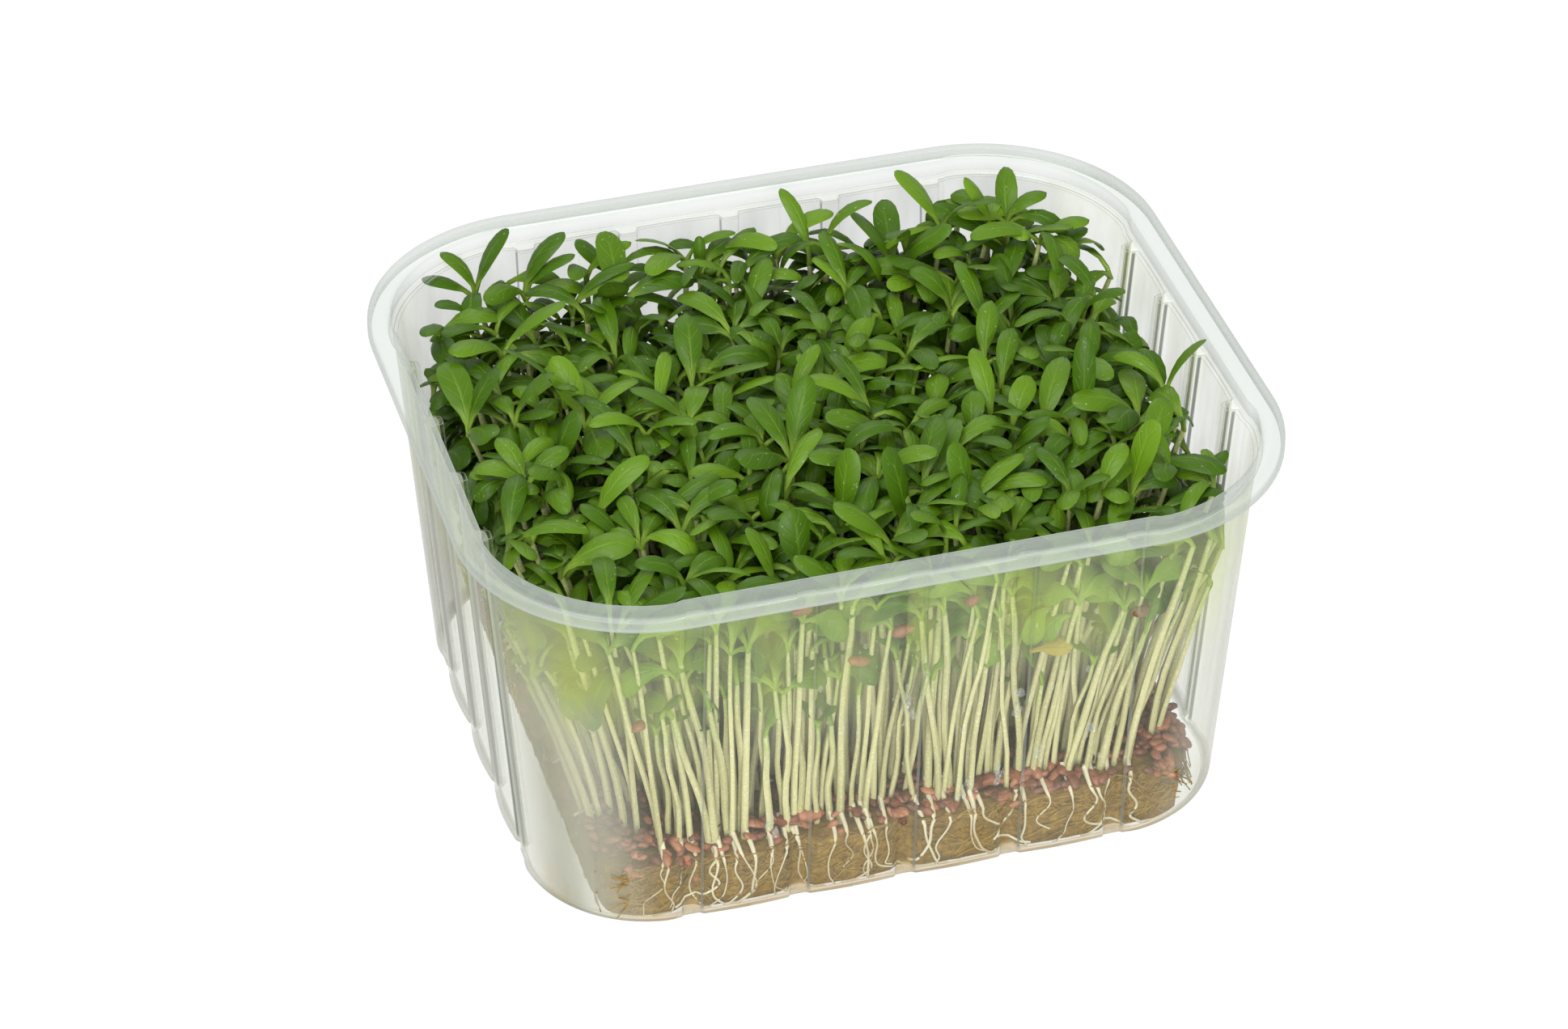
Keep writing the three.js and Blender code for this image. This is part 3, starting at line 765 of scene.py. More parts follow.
class Spaced:
    """Room among points that keep an exact clearance from each other."""

    def __init__(self):
        self.points = np.zeros((0, 3))

    def add(self, points, _):
        """Take up these points."""
        self.points = np.concatenate([self.points, points])

    def clear(self, points):
        """Whether all points keep clear of the wall and of those taken up."""
        if not in_tub(points, WALL_CLEARANCE).all():
            return False
        low, high = points.min(0) - CLEARANCE, points.max(0) + CLEARANCE
        near = np.all((self.points > low) & (self.points < high), 1)
        gaps = points[:, None] - self.points[near]
        return not (np.einsum("ijk,ijk->ij", gaps, gaps) <= CLEARANCE**2).any()


class Packed:
    """Room in a grid of small cells, of which those near a point that was added are taken."""

    CELL = 0.5
    LOW = np.array([-60.0, -52.0, 0.0])
    SHAPE = (240, 208, 150)

    def __init__(self):
        self.taken = np.zeros(self.SHAPE, bool)

    def cells(self, points):
        """Cell that each point lies in."""
        return np.clip(((points - self.LOW) / self.CELL).astype(int), 3, np.array(self.SHAPE) - 4)

    def add(self, points, room):
        """Take the cells within the room round each point."""
        reach = np.arange(-3, 4)
        offsets = np.stack(np.meshgrid(reach, reach, reach), -1).reshape(-1, 3)
        offsets = offsets[np.linalg.norm(offsets, axis=1) * self.CELL <= room]
        near = (self.cells(points)[:, None] + offsets).reshape(-1, 3)
        self.taken[tuple(near.T)] = True

    def clear(self, points):
        """Whether all points lie in the tub and in free cells."""
        return in_tub(points, 0).all() and not self.taken[tuple(self.cells(points).T)].any()


def stem_path(foot, node, s):
    """Stem centre at shares s of its height: upright at the mat, leaning more and more."""
    lean = (s**STEM_LEAN)[..., None]
    flat = mix(foot[..., None, :2], node[..., None, :2], lean)
    return np.concatenate([flat, mix(foot[..., None, 2:], node[..., None, 2:], s[..., None])], -1)


def leaf_half_width(width, t):
    """A narrow stalk, then a spoon: a power of the way in times a smaller power of the way left."""
    s = np.clip((t - 0.15) / 0.85, 0, 1)
    return np.maximum(PETIOLE, width * (s / 0.7) ** 1.1 * ((1 - s) / 0.3) ** 0.47)


def blade_half_width(width, t):
    """The leaf as drawn: a thin stalk, then a long oval that is widest a little past its middle."""
    s = np.clip((t - 0.18) / 0.82, 0, 1)
    return np.maximum(0.8 * PETIOLE, width * (s / 0.62) ** 0.75 * ((1 - s) / 0.38) ** 0.46)


def leaf_frames(leaves, t):
    """Centres, sideways and upward directions along leaves that rise from a node and bend over in an arc."""
    keys = ("rise", "bend", "length", "turn", "roll")
    rise0, bend, length, turn, roll = (leaves[key][:, None] for key in keys)
    rise = rise0 - bend * t
    reach = length / bend * (np.sin(rise0) - np.sin(rise))
    lift = length / bend * (np.cos(rise) - np.cos(rise0))
    c, s = np.cos(turn) + 0 * rise, np.sin(turn) + 0 * rise
    centre = leaves["node"][:, None] + np.stack([c * reach, s * reach, lift], -1)
    level = np.stack([-s, c, 0 * c], -1)
    over = np.stack([-c * np.sin(rise), -s * np.sin(rise), np.cos(rise)], -1)
    side = level * np.cos(roll)[..., None] + over * np.sin(roll)[..., None]
    up = over * np.cos(roll)[..., None] - level * np.sin(roll)[..., None]
    return centre, side, up


def leaf_points(leaf):
    """Points over a leaf's face that are tested for clearance."""
    one = {key: np.array([value]) for key, value in leaf.items()}
    centre, side, _ = leaf_frames(one, LEAF_PROBE)
    half = np.where(LEAF_PROBE < 0.99, leaf_half_width(leaf["width"], LEAF_PROBE), 0)
    across = np.array([-1, -0.5, 0, 0.5, 1])[:, None]
    return (centre[0][:, None] + side[0][:, None] * across * half[:, None, None]).reshape(-1, 3)


def grow_stem(place, bearing, seed, sizes, room):
    """The first lean of a stem that has room, or None."""
    height = mix(*sizes["height"], draw(seed, 1) ** sizes["crowding"])
    spread = draw_in(sizes["spread"], seed, 2)
    for k in range(sizes["tries"]):
        turn = 2 * math.pi * (bearing + k * TURN)
        way = np.array([math.cos(turn), math.sin(turn)])
        foot = np.array([*(place + sizes["foot"] * way), MAT_TOP - FOOT_DEPTH])
        node = np.array([*(place * sizes["fan"](place) + spread * way), height])
        points = stem_path(foot, node, np.arange(31) / 30)
        if room.clear(points):
            turn = 2 * math.pi * draw(seed, 5)
            return {"foot": foot, "node": node, "seed": seed, "turn": turn, "points": points}
    return None


def grow_leaf(stem, face, sizes, room):
    """The first bend of a leaf on one face of a stem's node that has room, and its points, or None."""
    seed = stem["seed"]
    facing = 2 * math.pi / 3 * (face if face < 3 else face - 2.5)
    tilt = stem.get("tilt", (0, 0))
    for k in range(sizes["tries"]):
        turn = stem["turn"] + facing + LEAF_SWING * (2 * draw(seed, 6 + face + 7 * k) - 1)
        outward = tilt[0] * math.sin(turn) - tilt[1] * math.cos(turn)
        leaf = {
            "node": stem["node"],
            "turn": turn,
            "length": draw_in(sizes["length"], seed, 20 + face) * (0.85 if k > sizes["tries"] / 2 else 1),
            "width": draw_in(sizes["width"], seed, 30 + face),
            "rise": draw_in(sizes["rise"] if face < 3 else CROWN_RISE, seed, 40 + face + 7 * k),
            "bend": draw_in(sizes["bend"], seed, 50 + face + 7 * k),
            "roll": LEAF_ROLL * (2 * draw(seed, 60 + face + 7 * k) - 1) + outward,
        }
        points = leaf_points(leaf)
        if room.clear(points):
            return leaf, points
    return None


def leaf_out(stem, sizes, room):
    """Give a stem its leaves, one of two numbers of them, as far as they have room."""
    count = sizes["leaves"][int(draw(stem["seed"], 8) < CROWNED)]
    grown = [grow_leaf(stem, face, sizes, room) for face in range(count)]
    stem["leaves"] = [pair[0] for pair in grown if pair]
    stem["probes"] = [pair[1] for pair in grown if pair]


def settle(stem, room):
    """Take up the room of a stem and its leaves."""
    room.add(stem["points"], STEM_ROOM)
    for points in stem["probes"]:
        room.add(points, LEAF_ROOM)


def sown(index, span):
    """Evenly spread sowing place: each step along both sides is an irrational share of it."""
    return np.array(span) * (2 * fraction(0.5 + index * np.array(SOWING_STEP)) - 1)


def grow_pairs():
    """The part's own pairs, by the same rule and draws as in its source."""
    sizes = {"height": NODE_HEIGHT, "crowding": 1, "spread": PAIR_SPREAD, "foot": FOOT_SPREAD, "tries": TRIES}
    sizes |= {"length": LEAF_LENGTH, "width": LEAF_HALF_WIDTH, "rise": LEAF_RISE, "bend": LEAF_BEND}
    sizes |= {"leaves": PAIR_LEAVES, "fan": lambda place: np.array(FAN)}
    room = Spaced()
    pairs = []
    index = 0
    while len(pairs) < PAIRS:
        place = sown(index, SOWN)
        bearings = [(j, draw(index, 4) + j / 2) for j in (0, 1)]
        stems = [grow_stem(place, bearing, 2 * index + j + 1, sizes, room) for j, bearing in bearings]
        stems = [stem for stem in stems if stem]
        settled = room.points
        for stem in stems:
            room.points = settled
            for other in stems:
                if other is not stem:
                    settle({"probes": [], **other}, room)
            leaf_out(stem, sizes, room)
        room.points = settled
        stems = [stem for stem in stems if len(stem["leaves"]) > 1]
        for stem in stems:
            settle(stem, room)
        if stems:
            pairs.append(stems)
        index += 1
    return pairs


def young(stem, sizes):
    """Shorten a stem whose leaves find no room, and give it two small ones, still folded upwards."""
    seed = stem["seed"]
    share = (draw_in(YOUNG_HEIGHT, seed, 11) - stem["foot"][2]) / (stem["node"][2] - stem["foot"][2])
    stem["node"] = stem_path(stem["foot"], stem["node"], np.array([min(share, 1.0)]))[0]
    for face in (0, 1):
        leaf = {"node": stem["node"], "turn": stem["turn"] + math.pi * face, "rise": 1.4, "roll": 0.0}
        leaf["length"] = draw_in(YOUNG_LEAF_LENGTH, seed, 12 + face)
        leaf["width"] = 0.8 * draw_in(sizes["width"], seed, 14 + face)
        leaf["bend"] = draw_in(sizes["bend"], seed, 16 + face) / 2
        if in_tub(leaf_points(leaf), 0).all():
            stem["leaves"].append(leaf)


def grow_sprig(node, leaves, seed):
    """A tall stem and the leaves that are given for it."""
    node = np.array(node)
    foot = np.array([*(node[:2] / FAN), MAT_TOP - FOOT_DEPTH])
    points = stem_path(foot, node, np.arange(31) / 30)
    keys = ("turn", "rise", "bend", "length", "width")
    given = [dict(zip(keys, leaf), node=node, roll=0.0) for leaf in leaves]
    turn = leaves[0][0] + math.pi
    return {"foot": foot, "node": node, "seed": seed, "turn": turn, "points": points, "given": given}


def grow_fill(pairs):
    """The tall sprigs, then single seedlings among the pairs: stems keep clear of stems, leaves of all."""
    sizes = {"height": FILL_HEIGHT, "crowding": FILL_CROWDING, "spread": FILL_SPREAD, "foot": 0.0}
    sizes |= {"tries": FILL_TRIES, "length": FILL_LEAF_LENGTH, "width": FILL_LEAF_HALF_WIDTH}
    sizes |= {"rise": FILL_LEAF_RISE, "bend": FILL_LEAF_BEND, "leaves": FILL_LEAVES}
    sizes["fan"] = lambda place: 1 + np.array(FILL_FAN) * (place / FILL_SOWN) ** 2
    edge_sizes = sizes | {"height": EDGE_HEIGHT, "crowding": 1, "tries": EDGE_TRIES}
    edge_sizes |= {"leaves": EDGE_LEAVES, "length": EDGE_LEAF_LENGTH, "width": EDGE_LEAF_HALF_WIDTH}
    edge_sizes |= {"rise": EDGE_LEAF_RISE}
    front_sizes = edge_sizes | {"height": FRONT_HEIGHT}
    stem_room, leaf_room = Packed(), Packed()
    for stem in sum(pairs, []):
        stem_room.add(stem["points"], STEM_ROOM)
        settle(stem, leaf_room)
    fill = []
    for index in range(len(SPRIGS) + FILL):
        seed = FILL_SEED + index
        at_edge = draw(seed, 10) < EDGE_SHARE and index >= len(SPRIGS)
        kind = sizes
        tilt = np.zeros(2)
        if index < len(SPRIGS):
            stem = grow_sprig(*SPRIGS[index], seed)
        else:
            place = sown(seed, FILL_SOWN)
            if at_edge:
                edge, normal, _ = mat_edge(draw(np.array([seed]), 7))
                place = edge[0] - normal[0] * draw_in(EDGE_INSET, seed, 9)
                kind = front_sizes if normal[0, 1] < -0.5 else edge_sizes
                tilt = EDGE_TILT * normal[0]
            stem = grow_stem(place, draw(seed, 4), seed, kind, stem_room)
        if stem:
            stem["tilt"] = tilt
            given = stem.get("given", [])
            probes = [leaf_points(leaf) for leaf in given]
            for points in probes:
                leaf_room.add(points, LEAF_ROOM)
            leaf_out(stem, kind, leaf_room)
            stem["leaves"] = given + stem["leaves"]
            if not stem["leaves"]:
                young(stem, sizes)
            stem_room.add(stem["points"], STEM_ROOM)
            settle(stem, leaf_room)
            fill.append(stem)
    return fill


def leaf_tubes(stems):
    """Thin leaves: a lens-shaped ring of eight points at each station, edges bent down from the midrib."""
    leaves = [leaf for stem in stems for leaf in stem["leaves"]]
    table = {key: np.array([leaf[key] for leaf in leaves]) for key in leaves[0]}
    seeds = np.arange(len(leaves)) + 7 * np.array([stem["seed"] for stem in stems for _ in stem["leaves"]])
    t = LEAF_STATIONS
    centre, side, up = leaf_frames(table, t)
    blade = smoothstep(0.1, 0.4, t)
    half = blade_half_width(table["width"][:, None], t) * mix(0.8, 0.92, blade)
    half[:, -1] = 0.12
    thick = mix(0.4, 0.17, blade) * mix(1, 0.5, smoothstep(0.9, 1.0, t))
    phi = 2 * math.pi * np.arange(8) / 8
    across, through = np.cos(phi), np.sin(phi)
    cup = draw_in((-0.05, 0.4), seeds, 71)[:, None] * blade
    x = half[..., None] * across
    y = thick[:, None] * through - cup[..., None] * half[..., None] * np.abs(across) ** 1.6
    points = centre[:, :, None] + side[:, :, None] * x[..., None] + up[:, :, None] * y[..., None]
    # Tone: painted light and shade, lighter for leaves high up and at the front and darker for low ones, plus
    # each leaf's own random difference
    high = smoothstep(32, 56, table["node"][:, 2])
    painted_front_light = smoothstep(0.8, 1.0, -table["node"][:, 1] / MAT_HIGH[1])
    tone = np.clip(0.14 + np.maximum(0.45 * high, 0.5 * painted_front_light) + 0.5 * (draw(seeds, 72) - 0.4), 0, 1)
    given = {"along": t[:, None], "across": across, "tone": tone[:, None, None]}
    given["under"] = (through < -0.1) * 1.0
    return points, given, 0


def stem_tubes(stems):
    """Stems: six-sided rings up the stem's path, with a slight sway that dies out at both ends."""
    foot = np.array([stem["foot"] for stem in stems])
    node = np.array([stem["node"] for stem in stems])
    seeds = np.array([stem["seed"] for stem in stems])
    s = np.linspace(0, 1, 9)
    path = stem_path(foot, node, np.tile(s, (len(stems), 1)))
    phase = s * draw_in((0.6, 1.6), seeds, 81)[:, None] + draw(seeds, 82)[:, None]
    sway = np.sin(math.pi * s) * np.sin(2 * math.pi * phase)
    turn = 2 * math.pi * draw(seeds, 83)
    path[..., 0] += STEM_SWAY * sway * np.cos(turn)[:, None]
    path[..., 1] += STEM_SWAY * sway * np.sin(turn)[:, None]
    radius = mix(0.52, 0.4, s) * draw_in((0.75, 1.2), seeds, 84)[:, None]
    radius[:, -1] *= 0.8
    path[:, -1, 2] += 0.25
    given = {"along": s[:, None], "tone": draw(seeds, 85)[:, None, None]}
    return tube_along(path, radius, 6), given, 1


def make_seedlings():
    """The pairs in groups that replace their nodes, then the rest in groups of like size."""
    pairs = grow_pairs()
    fill = grow_fill(pairs)
    finishes = [leaf_green(), stem_cream()]
    group = 6
    for start in range(0, PAIRS, group):
        stems = [stem for pair in pairs[start:start + group] for stem in pair]
        tubes = [leaf_tubes(stems), stem_tubes(stems)]
        piece = make_piece(f"cress_{start // group + 1:02d}", tubes, finishes)
        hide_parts(*(f"seedlings_{i + 1:02d}" for i in range(start, min(start + group, PAIRS))))
    for k in range(FILL_GROUPS):
        stems = fill[k::FILL_GROUPS]
        piece = make_piece(f"cress_between_{k + 1}", [leaf_tubes(stems), stem_tubes(stems)], finishes)
    return fill


def make_withered():
    """One yellowed leaf that lies against the front wall."""
    x, z = WITHERED_PLACE
    leaf = dict(zip(("turn", "rise", "bend", "length", "width", "roll"), WITHERED_LEAF))
    leaf["node"] = np.array([x, 1.9 - against_wall(x, z), z])
    finish = leaf_green("withered_leaf", WITHERED_COLOURS, WITHERED_COLOURS[0])
    withered = make_piece("withered_leaf", [leaf_tubes([{"leaves": [leaf], "seed": 1}])], [finish])


def make_mat():
    """The mat: a rounded rectangle, bevelled below, roughened by ripples and pressed to the long walls."""
    half = MAT_HIGH[:2] - MAT_CORNER
    rows = []
    for side in range(4):
        angle = side * math.pi / 2
        normal = np.array([math.cos(angle), math.sin(angle)])
        along = np.array([-normal[1], normal[0]])
        out, reach = half[side % 2], half[1 - side % 2]
        s = np.linspace(-reach, reach, 60)
        rows.append(np.column_stack([normal * out + along * s[:, None], np.outer(np.ones(60), normal)]))
        turn = np.linspace(0, math.pi / 2, 8)[1:-1]
        corner = np.outer(np.ones(6), normal * out + along * reach)
        rows.append(np.column_stack([corner, np.cos(angle + turn), np.sin(angle + turn)]))
    stations = np.concatenate(rows)
    low = MAT_LOW[2]
    top_in = np.linspace(0, 1, 16)[1:] ** 0.8
    side_z = np.linspace(0, 1, 9)
    profile = np.concatenate([
        [[0.1, 0.0, low], [0.9, 0.0, low]],
        [[1, MAT_CORNER - inset, low + rise] for inset, rise in MAT_FOOT],
        np.column_stack([np.ones(9), mix(4.65, 5.0, side_z), mix(low + 4.6, MAT_TOP - 0.6, side_z)]),
        [[1, 4.7, MAT_TOP - 0.15]],
        np.column_stack([1 - 0.97 * top_in, 4.3 * (1 - top_in), np.full(15, MAT_TOP)]),
    ])
    scale, r, z = profile.T[:, :, None]
    x, y, nx, ny = stations.T[:, None, :]
    points = np.stack([x * scale + nx * r, y * scale + ny * r, z + 0 * x * scale], -1)
    upright = z < MAT_TOP - 0.1
    facing = np.stack([nx * upright, ny * upright, (z >= MAT_TOP - 0.7) * 1.0 + 0 * nx], -1)
    rough = 0.4 * ripple(points, 3.1, 1) + 0.35 * ripple(points, 1.7, 2) + 0.5 * ripple(points, 9.0, 3)
    points = points + facing * ((rough - 0.2) * smoothstep(low, low + 2, points[..., 2]))[..., None]
    against = against_wall(points[..., 0], points[..., 2]) - 0.6 + 0.2 * rough
    pressed = ny**2 * smoothstep(0.8, 1.0, scale) * upright
    points[..., 1] = mix(points[..., 1], np.sign(ny) * against, pressed)
    points = slid(points, 0.3)
    mat = make_piece("growing_mat_felt", [(points[None], {}, 0), fibre_tubes()], [mat_fibre()])
    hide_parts("growing_mat")


def mat_edge(u):
    """Point, outward normal and heading at shares u of the way round the mat's top edge."""
    half = MAT_HIGH[:2]
    lengths = np.array([2 * half[1], 2 * half[0]] * 2)
    ends = np.cumsum(lengths)
    distance = fraction(u) * ends[-1]
    side = np.searchsorted(ends, distance, side="right").clip(0, 3)
    s = distance - (ends - lengths)[side] - lengths[side] / 2
    angle = side * math.pi / 2
    normal = np.stack([np.cos(angle), np.sin(angle)], -1)
    along = np.stack([-normal[..., 1], normal[..., 0]], -1)
    limit = lengths[side] / 2 - 3
    s = np.where(np.abs(s) > limit, np.sign(s) * (2 * limit - np.abs(s)), s)
    return slid(normal * half[side % 2, None] + along * s[..., None]), normal, along


def fibre_tubes(count=1500):
    """Loose fibres: short arcs that lie on the mat's side or its top edge and lift a little at their ends."""
    k = np.arange(count)
    place, normal, along = mat_edge(draw(k, 201))
    s = np.linspace(-1, 1, 5)
    length = draw_in((2.0, 6.5), k, 202)
    slope = draw_in((-1.2, 1.2), k, 203)
    height = draw_in((2.6, MAT_TOP - 0.2), k, 204)
    bow = draw_in((-0.8, 0.8), k, 205)
    proud = 0.1 + 0.25 * draw(k, 206)[:, None] * s**2
    run = length[:, None] * s / 2
    z = np.clip(height[:, None] + run * np.sin(slope)[:, None] + bow[:, None] * s**2, 1.6, MAT_TOP + 0.2)
    inward = 0.6 * smoothstep(5, 1.5, z)
    flat = place[:, None] + along[:, None] * (run * np.cos(slope)[:, None])[..., None]
    flat = flat + normal[:, None] * (proud - inward)[..., None]
    facing = np.round(normal[:, None, 1])
    on_wall = facing * (against_wall(flat[..., 0], z) - 0.55 + proud)
    flat[..., 1] = np.where(facing == 0, flat[..., 1], on_wall)
    paths = np.concatenate([flat, z[..., None]], -1)
    given = {"tone": draw(k, 207)[:, None, None]}
    return tube_along(paths, np.full((count, 5), 0.09) * draw_in((0.7, 1.5), k, 208)[:, None], 4), given, 0


def hull_tubes(places, turns, seeds, size=1.0):
    """Seed hulls: egg-shaped rings from end to end, dented along one side as an empty hull is."""
    v = np.linspace(0.04, 0.96, 6) * math.pi
    phi = 2 * math.pi * np.arange(8) / 8
    lengthwise, swell = -np.cos(v), np.sin(v) ** 0.8
    n = len(places)
    scale = HULL_SIZE * draw_in((0.8, 1.1), seeds, 91)[:, None] * size
    dent = 1 - 0.35 * np.maximum(np.cos(phi - 1.2), 0)[None, None] ** 3 * draw(seeds, 92)[:, None, None]
    x = np.broadcast_to(lengthwise[None, :, None], (n, 6, 8)) * scale[:, 0, None, None]
    y = swell[:, None] * np.cos(phi) * dent * scale[:, 1, None, None]
    z = swell[:, None] * np.sin(phi) * dent * scale[:, 2, None, None]
    z = z + 0.15 * x**2 * (draw(seeds, 93) - 0.5)[:, None, None]
    tilt = draw_in((-0.5, 0.5), seeds, 94)[:, None, None]
    x, z = x * np.cos(tilt) - z * np.sin(tilt), x * np.sin(tilt) + z * np.cos(tilt)
    c, s = np.cos(turns)[:, None, None], np.sin(turns)[:, None, None]
    turned = np.stack([c * x - s * y, s * x + c * y, z], -1)
    places = places[:, None, None]
    points = turned * (1 + 0.5 * ripple(turned + places, 2.2, 9))[..., None] + places
    return points, {"tone": draw(seeds, 95)[:, None, None]}, 0


def heap_line(distance):
    """Point and heading at a distance along the rectangle that the heaps follow."""
    halves = (MAT_HIGH[:2] - HEAP_INSET)[::-1]
    lengths = 2 * np.tile(halves, 2)
    ends = np.cumsum(lengths)
    side = np.searchsorted(ends, distance).clip(0, 3)
    s = distance - (ends - lengths)[side] - halves[side % 2]
    angle = side * math.pi / 2
    out = halves[(side + 1) % 2]
    x = np.cos(angle) * out - np.sin(angle) * s
    y = np.sin(angle) * out + np.cos(angle) * s
    return x, y, angle + math.pi / 2


def make_hulls(loose=1500, clumps=110):
    """The part's heaps as in its source, loose hulls, thickest at the mat's edge, and a few on the wall."""
    heap, i = np.divmod(np.arange(HEAPS * HULLS_PER_HEAP), HULLS_PER_HEAP)
    lap = 4 * (MAT_HIGH[0] + MAT_HIGH[1] - 2 * HEAP_INSET)
    start = lap * (heap + 0.25 + 0.3 * draw(heap, 3)) / HEAPS
    seeds = 500 + heap * HULLS_PER_HEAP + i
    x, y, heading = heap_line(start + i * HULL_PITCH)
    z = MAT_TOP + 0.3 + HULL_SIZE[2] + 0.5 * draw(seeds, 2)
    heaps = hull_tubes(np.stack([x, y, z], -1), heading + 1.2 * (draw(seeds, 1) - 0.5), seeds)
    k = np.arange(loose) + 5000
    clump = k % clumps
    around = draw(k, 105) + draw(k, 106) + draw(k, 107) - 1.5
    place, normal, _ = mat_edge(draw(clump, 101) + 0.02 * around)
    inward = np.where(k % 5 < 3, 10 * draw(k, 102) ** 2, 38 * draw(k, 102)) - 0.5
    z = MAT_TOP + 0.3 + 1.7 * draw(k, 103) * smoothstep(0, 2, inward) - 1.8 * draw(k, 108) ** 2 * (inward < 0)
    flat = place - normal * inward[:, None]
    spread = hull_tubes(np.column_stack([flat, z]), 2 * math.pi * draw(k, 104), k, 0.64)
    x, z = np.transpose(STUCK_HULLS)
    on_wall = np.column_stack([x, 1.0 - against_wall(x, z), z])
    stuck = hull_tubes(on_wall, 0.5 * draw(k[:len(x)], 109), k[:len(x)], 0.85)
    hulls = make_piece("seed_hull_layer", [heaps, spread, stuck], [hull_brown()])
    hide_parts(*(f"seed_hulls_{n + 1:02d}" for n in range(HEAPS)))


def make_roots(stems):
    """Roots of stems at the mat's edge: out to its side, down in a lazy wave, then along the tub's floor."""
    feet = np.array([stem["foot"] for stem in stems])
    ends = np.where(feet[:, :1] < 0, *MAT_SLIDE) * [1, 0]
    room = MAT_HIGH[:2] + ends - np.abs(feet[:, :2])
    k = np.array([stem["seed"] for stem in stems])
    rooted = (room.min(1) < ROOT_INSET) & (draw(k, 301) < ROOT_SHARE)
    feet, room, k = feet[rooted], room[rooted], k[rooted]
    sideward = room[:, 0] < room[:, 1]
    normal = np.where(sideward[:, None], [1.0, 0.0], [0.0, 1.0]) * np.sign(feet[:, :2])
    along = np.stack([-normal[:, 1], normal[:, 0]], -1)
    s = np.linspace(0, 1, 30)
    over = smoothstep(0, 0.2, s)
    down = np.minimum(s * draw_in((0.7, 1.5), k, 303)[:, None], 1)
    z = mix(MAT_TOP + 1.6, 1.1, down)
    swing = draw_in((0.4, 2.0), k, 304)[:, None] * s
    waves = s * draw_in((0.6, 2.0), k, 305)[:, None] + draw(k, 306)[:, None]
    pooled = smoothstep(0.8, 1.0, down) * (s - 0.6).clip(0) * draw_in((-14, 14), k, 307)[:, None]
    sideways = swing * np.sin(2 * math.pi * waves) + pooled + draw_in((-3.5, 3.5), k, 308)[:, None] * s
    start = (feet[:, :2] * along).sum(1)[:, None]
    sideways = np.clip(start + sideways, *(np.array([-1, 1]) * (MAT_HIGH[1] - 3))) - start
    insets, rises = np.transpose([*MAT_FOOT, (0.0, MAT_TOP - MAT_LOW[2])])
    outward = room.min(1)[:, None] + 0.32 - np.interp(z - MAT_LOW[2], rises, insets)
    flat = feet[:, None, :2] + along[:, None] * sideways[..., None]
    flat = flat + normal[:, None] * (outward * over)[..., None]
    facing = np.round(normal[:, None, 1])
    on_wall = facing * (against_wall(flat[..., 0], z) - 0.3)
    flat[..., 1] = np.where(facing == 0, flat[..., 1], mix(feet[:, None, 1], on_wall, over))
    paths = np.concatenate([flat, z[..., None]], -1)
    radius = mix(0.42, mix(0.1, 0.24, draw(k, 309)[:, None] ** 2), smoothstep(0, 0.32, s))
    roots = make_piece("root_threads", [(tube_along(paths, radius, 6), {}, 0)], [root_white()])


def make_drops(each=9, single=60):
    """Water drops: low domes inside the front wall, in trails and singly, some drawn out downwards."""
    k = np.arange(each * len(WET_PLACES) + single) + 4000
    trail = np.minimum((k - 4000) // each, len(WET_PLACES))
    places = np.array([*WET_PLACES, (0.0, 28.0)])[trail]
    alone = trail == len(WET_PLACES)
    x = places[:, 0] + np.where(alone, draw_in((-30, 30), k, 402), draw_in((-1.1, 1.1), k, 402))
    z = places[:, 1] + np.where(alone, draw_in((-15, 17), k, 401), draw_in((-2.2, 2.2), k, 401))
    v = np.linspace(1, 0.05, 4) * math.pi / 2
    phi = 2 * math.pi * np.arange(8) / 8
    size = 0.14 + np.where(alone, 0.2, 0.5) * draw(k, 403) ** 2
    tall = draw_in((0.9, 2.0), k, 404)
    radius = size[:, None, None] * np.sin(v)[:, None]
    dx = radius * np.cos(phi)
    dz = -radius * np.sin(phi) * tall[:, None, None]
    dy = size[:, None, None] * 0.5 * np.cos(v)[:, None] + 0 * dx
    points = np.stack([x[:, None, None] + dx, dy, z[:, None, None] + dz], -1)
    points[..., 1] -= against_wall(points[..., 0], points[..., 2]) - 0.02
    drops = make_piece("water_drops", [(points, {}, 0)], [water()])


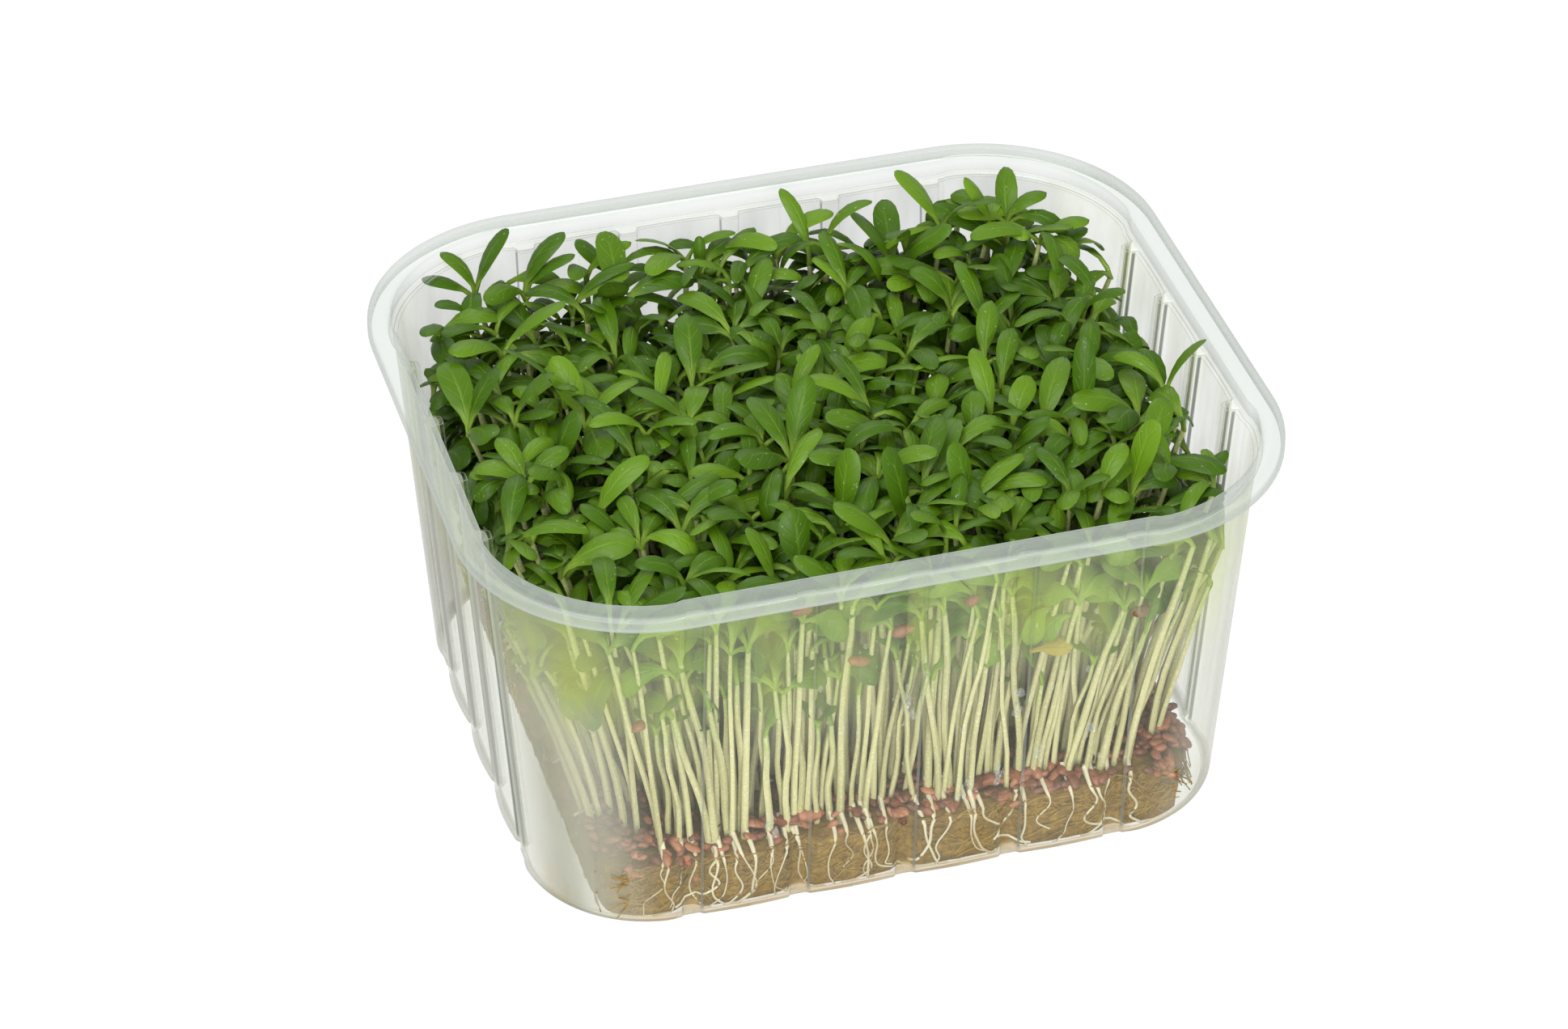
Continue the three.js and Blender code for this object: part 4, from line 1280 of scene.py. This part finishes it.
def make_floor():
    """Wide pale floor, lit from below like a light table, with the faintest grain."""
    f = Finish("floor")
    grain = f.noise(40, 2)
    colour = f.blend(grain, (0.03, 0.03, 0.03), (0.035, 0.035, 0.035))
    glow = {"Emission Color": (1, 1, 1, 1), "Emission Strength": 0.98}
    f.done(f.node("ShaderNodeBsdfPrincipled", None, {"Base Color": colour, "Roughness": 0.9} | glow))
    reach = 6.0
    mesh = bpy.data.meshes.new("floor")
    corners = [(-reach, -reach, 0), (reach, -reach, 0), (reach, reach, 0), (-reach, reach, 0)]
    mesh.from_pydata(corners, [], [(0, 1, 2, 3)])
    mesh.materials.append(f.material)
    floor = bpy.data.objects.new("floor", mesh)
    bpy.context.scene.collection.objects.link(floor)


def add_light(name, place, size, power):
    """Soft square lamp that faces the tray."""
    lamp = bpy.data.lights.new(name, "AREA")
    lamp.size = size
    lamp.energy = power
    light = bpy.data.objects.new(name, lamp)
    light.location = place
    bpy.context.scene.collection.objects.link(light)
    aim = Vector((0, 0, 0.04)) - light.location
    light.rotation_euler = aim.to_track_quat("-Z", "Y").to_euler()


def make_studio():
    """White surroundings and three soft lamps: above to the front left, behind, and low in front."""
    world = bpy.data.worlds.new("studio")
    world.use_nodes = True
    world.node_tree.nodes["Background"].inputs["Color"].default_value = (1, 1, 1, 1)
    world.node_tree.nodes["Background"].inputs["Strength"].default_value = SURROUNDINGS
    bpy.context.scene.world = world
    for name, (place, size, power) in LAMPS.items():
        add_light(name, place, size, power)
    bpy.context.scene.view_settings.view_transform = "Standard"


def make_camera():
    """The fitted view: a long lens whose shift sets the object where the photograph has it."""
    lens = bpy.data.cameras.new("camera")
    lens.sensor_width = SENSOR
    lens.lens = VIEW_FOCAL_PIXELS / PHOTO_SIZE[0] * SENSOR
    lens.shift_x = -VIEW_OFFSET_PIXELS[0] / PHOTO_SIZE[0]
    lens.shift_y = VIEW_OFFSET_PIXELS[1] / PHOTO_SIZE[0]
    camera = bpy.data.objects.new("camera", lens)
    a, e = VIEW_AZIMUTH, VIEW_ELEVATION
    back = Vector((math.sin(a) * math.cos(e), -math.cos(a) * math.cos(e), math.sin(e)))
    camera.location = (Vector(VIEW_TARGET) + back * VIEW_DISTANCE) * MM
    camera.rotation_mode = "QUATERNION"
    upright = (-back).to_track_quat("-Z", "Y")
    camera.rotation_quaternion = upright @ Quaternion((0, 0, 1), VIEW_ROLL)
    bpy.context.scene.collection.objects.link(camera)
    bpy.context.scene.camera = camera


make_camera()
make_tub()
make_mat()
make_hulls()
make_roots(make_seedlings())
make_withered()
make_drops()
make_floor()
make_studio()
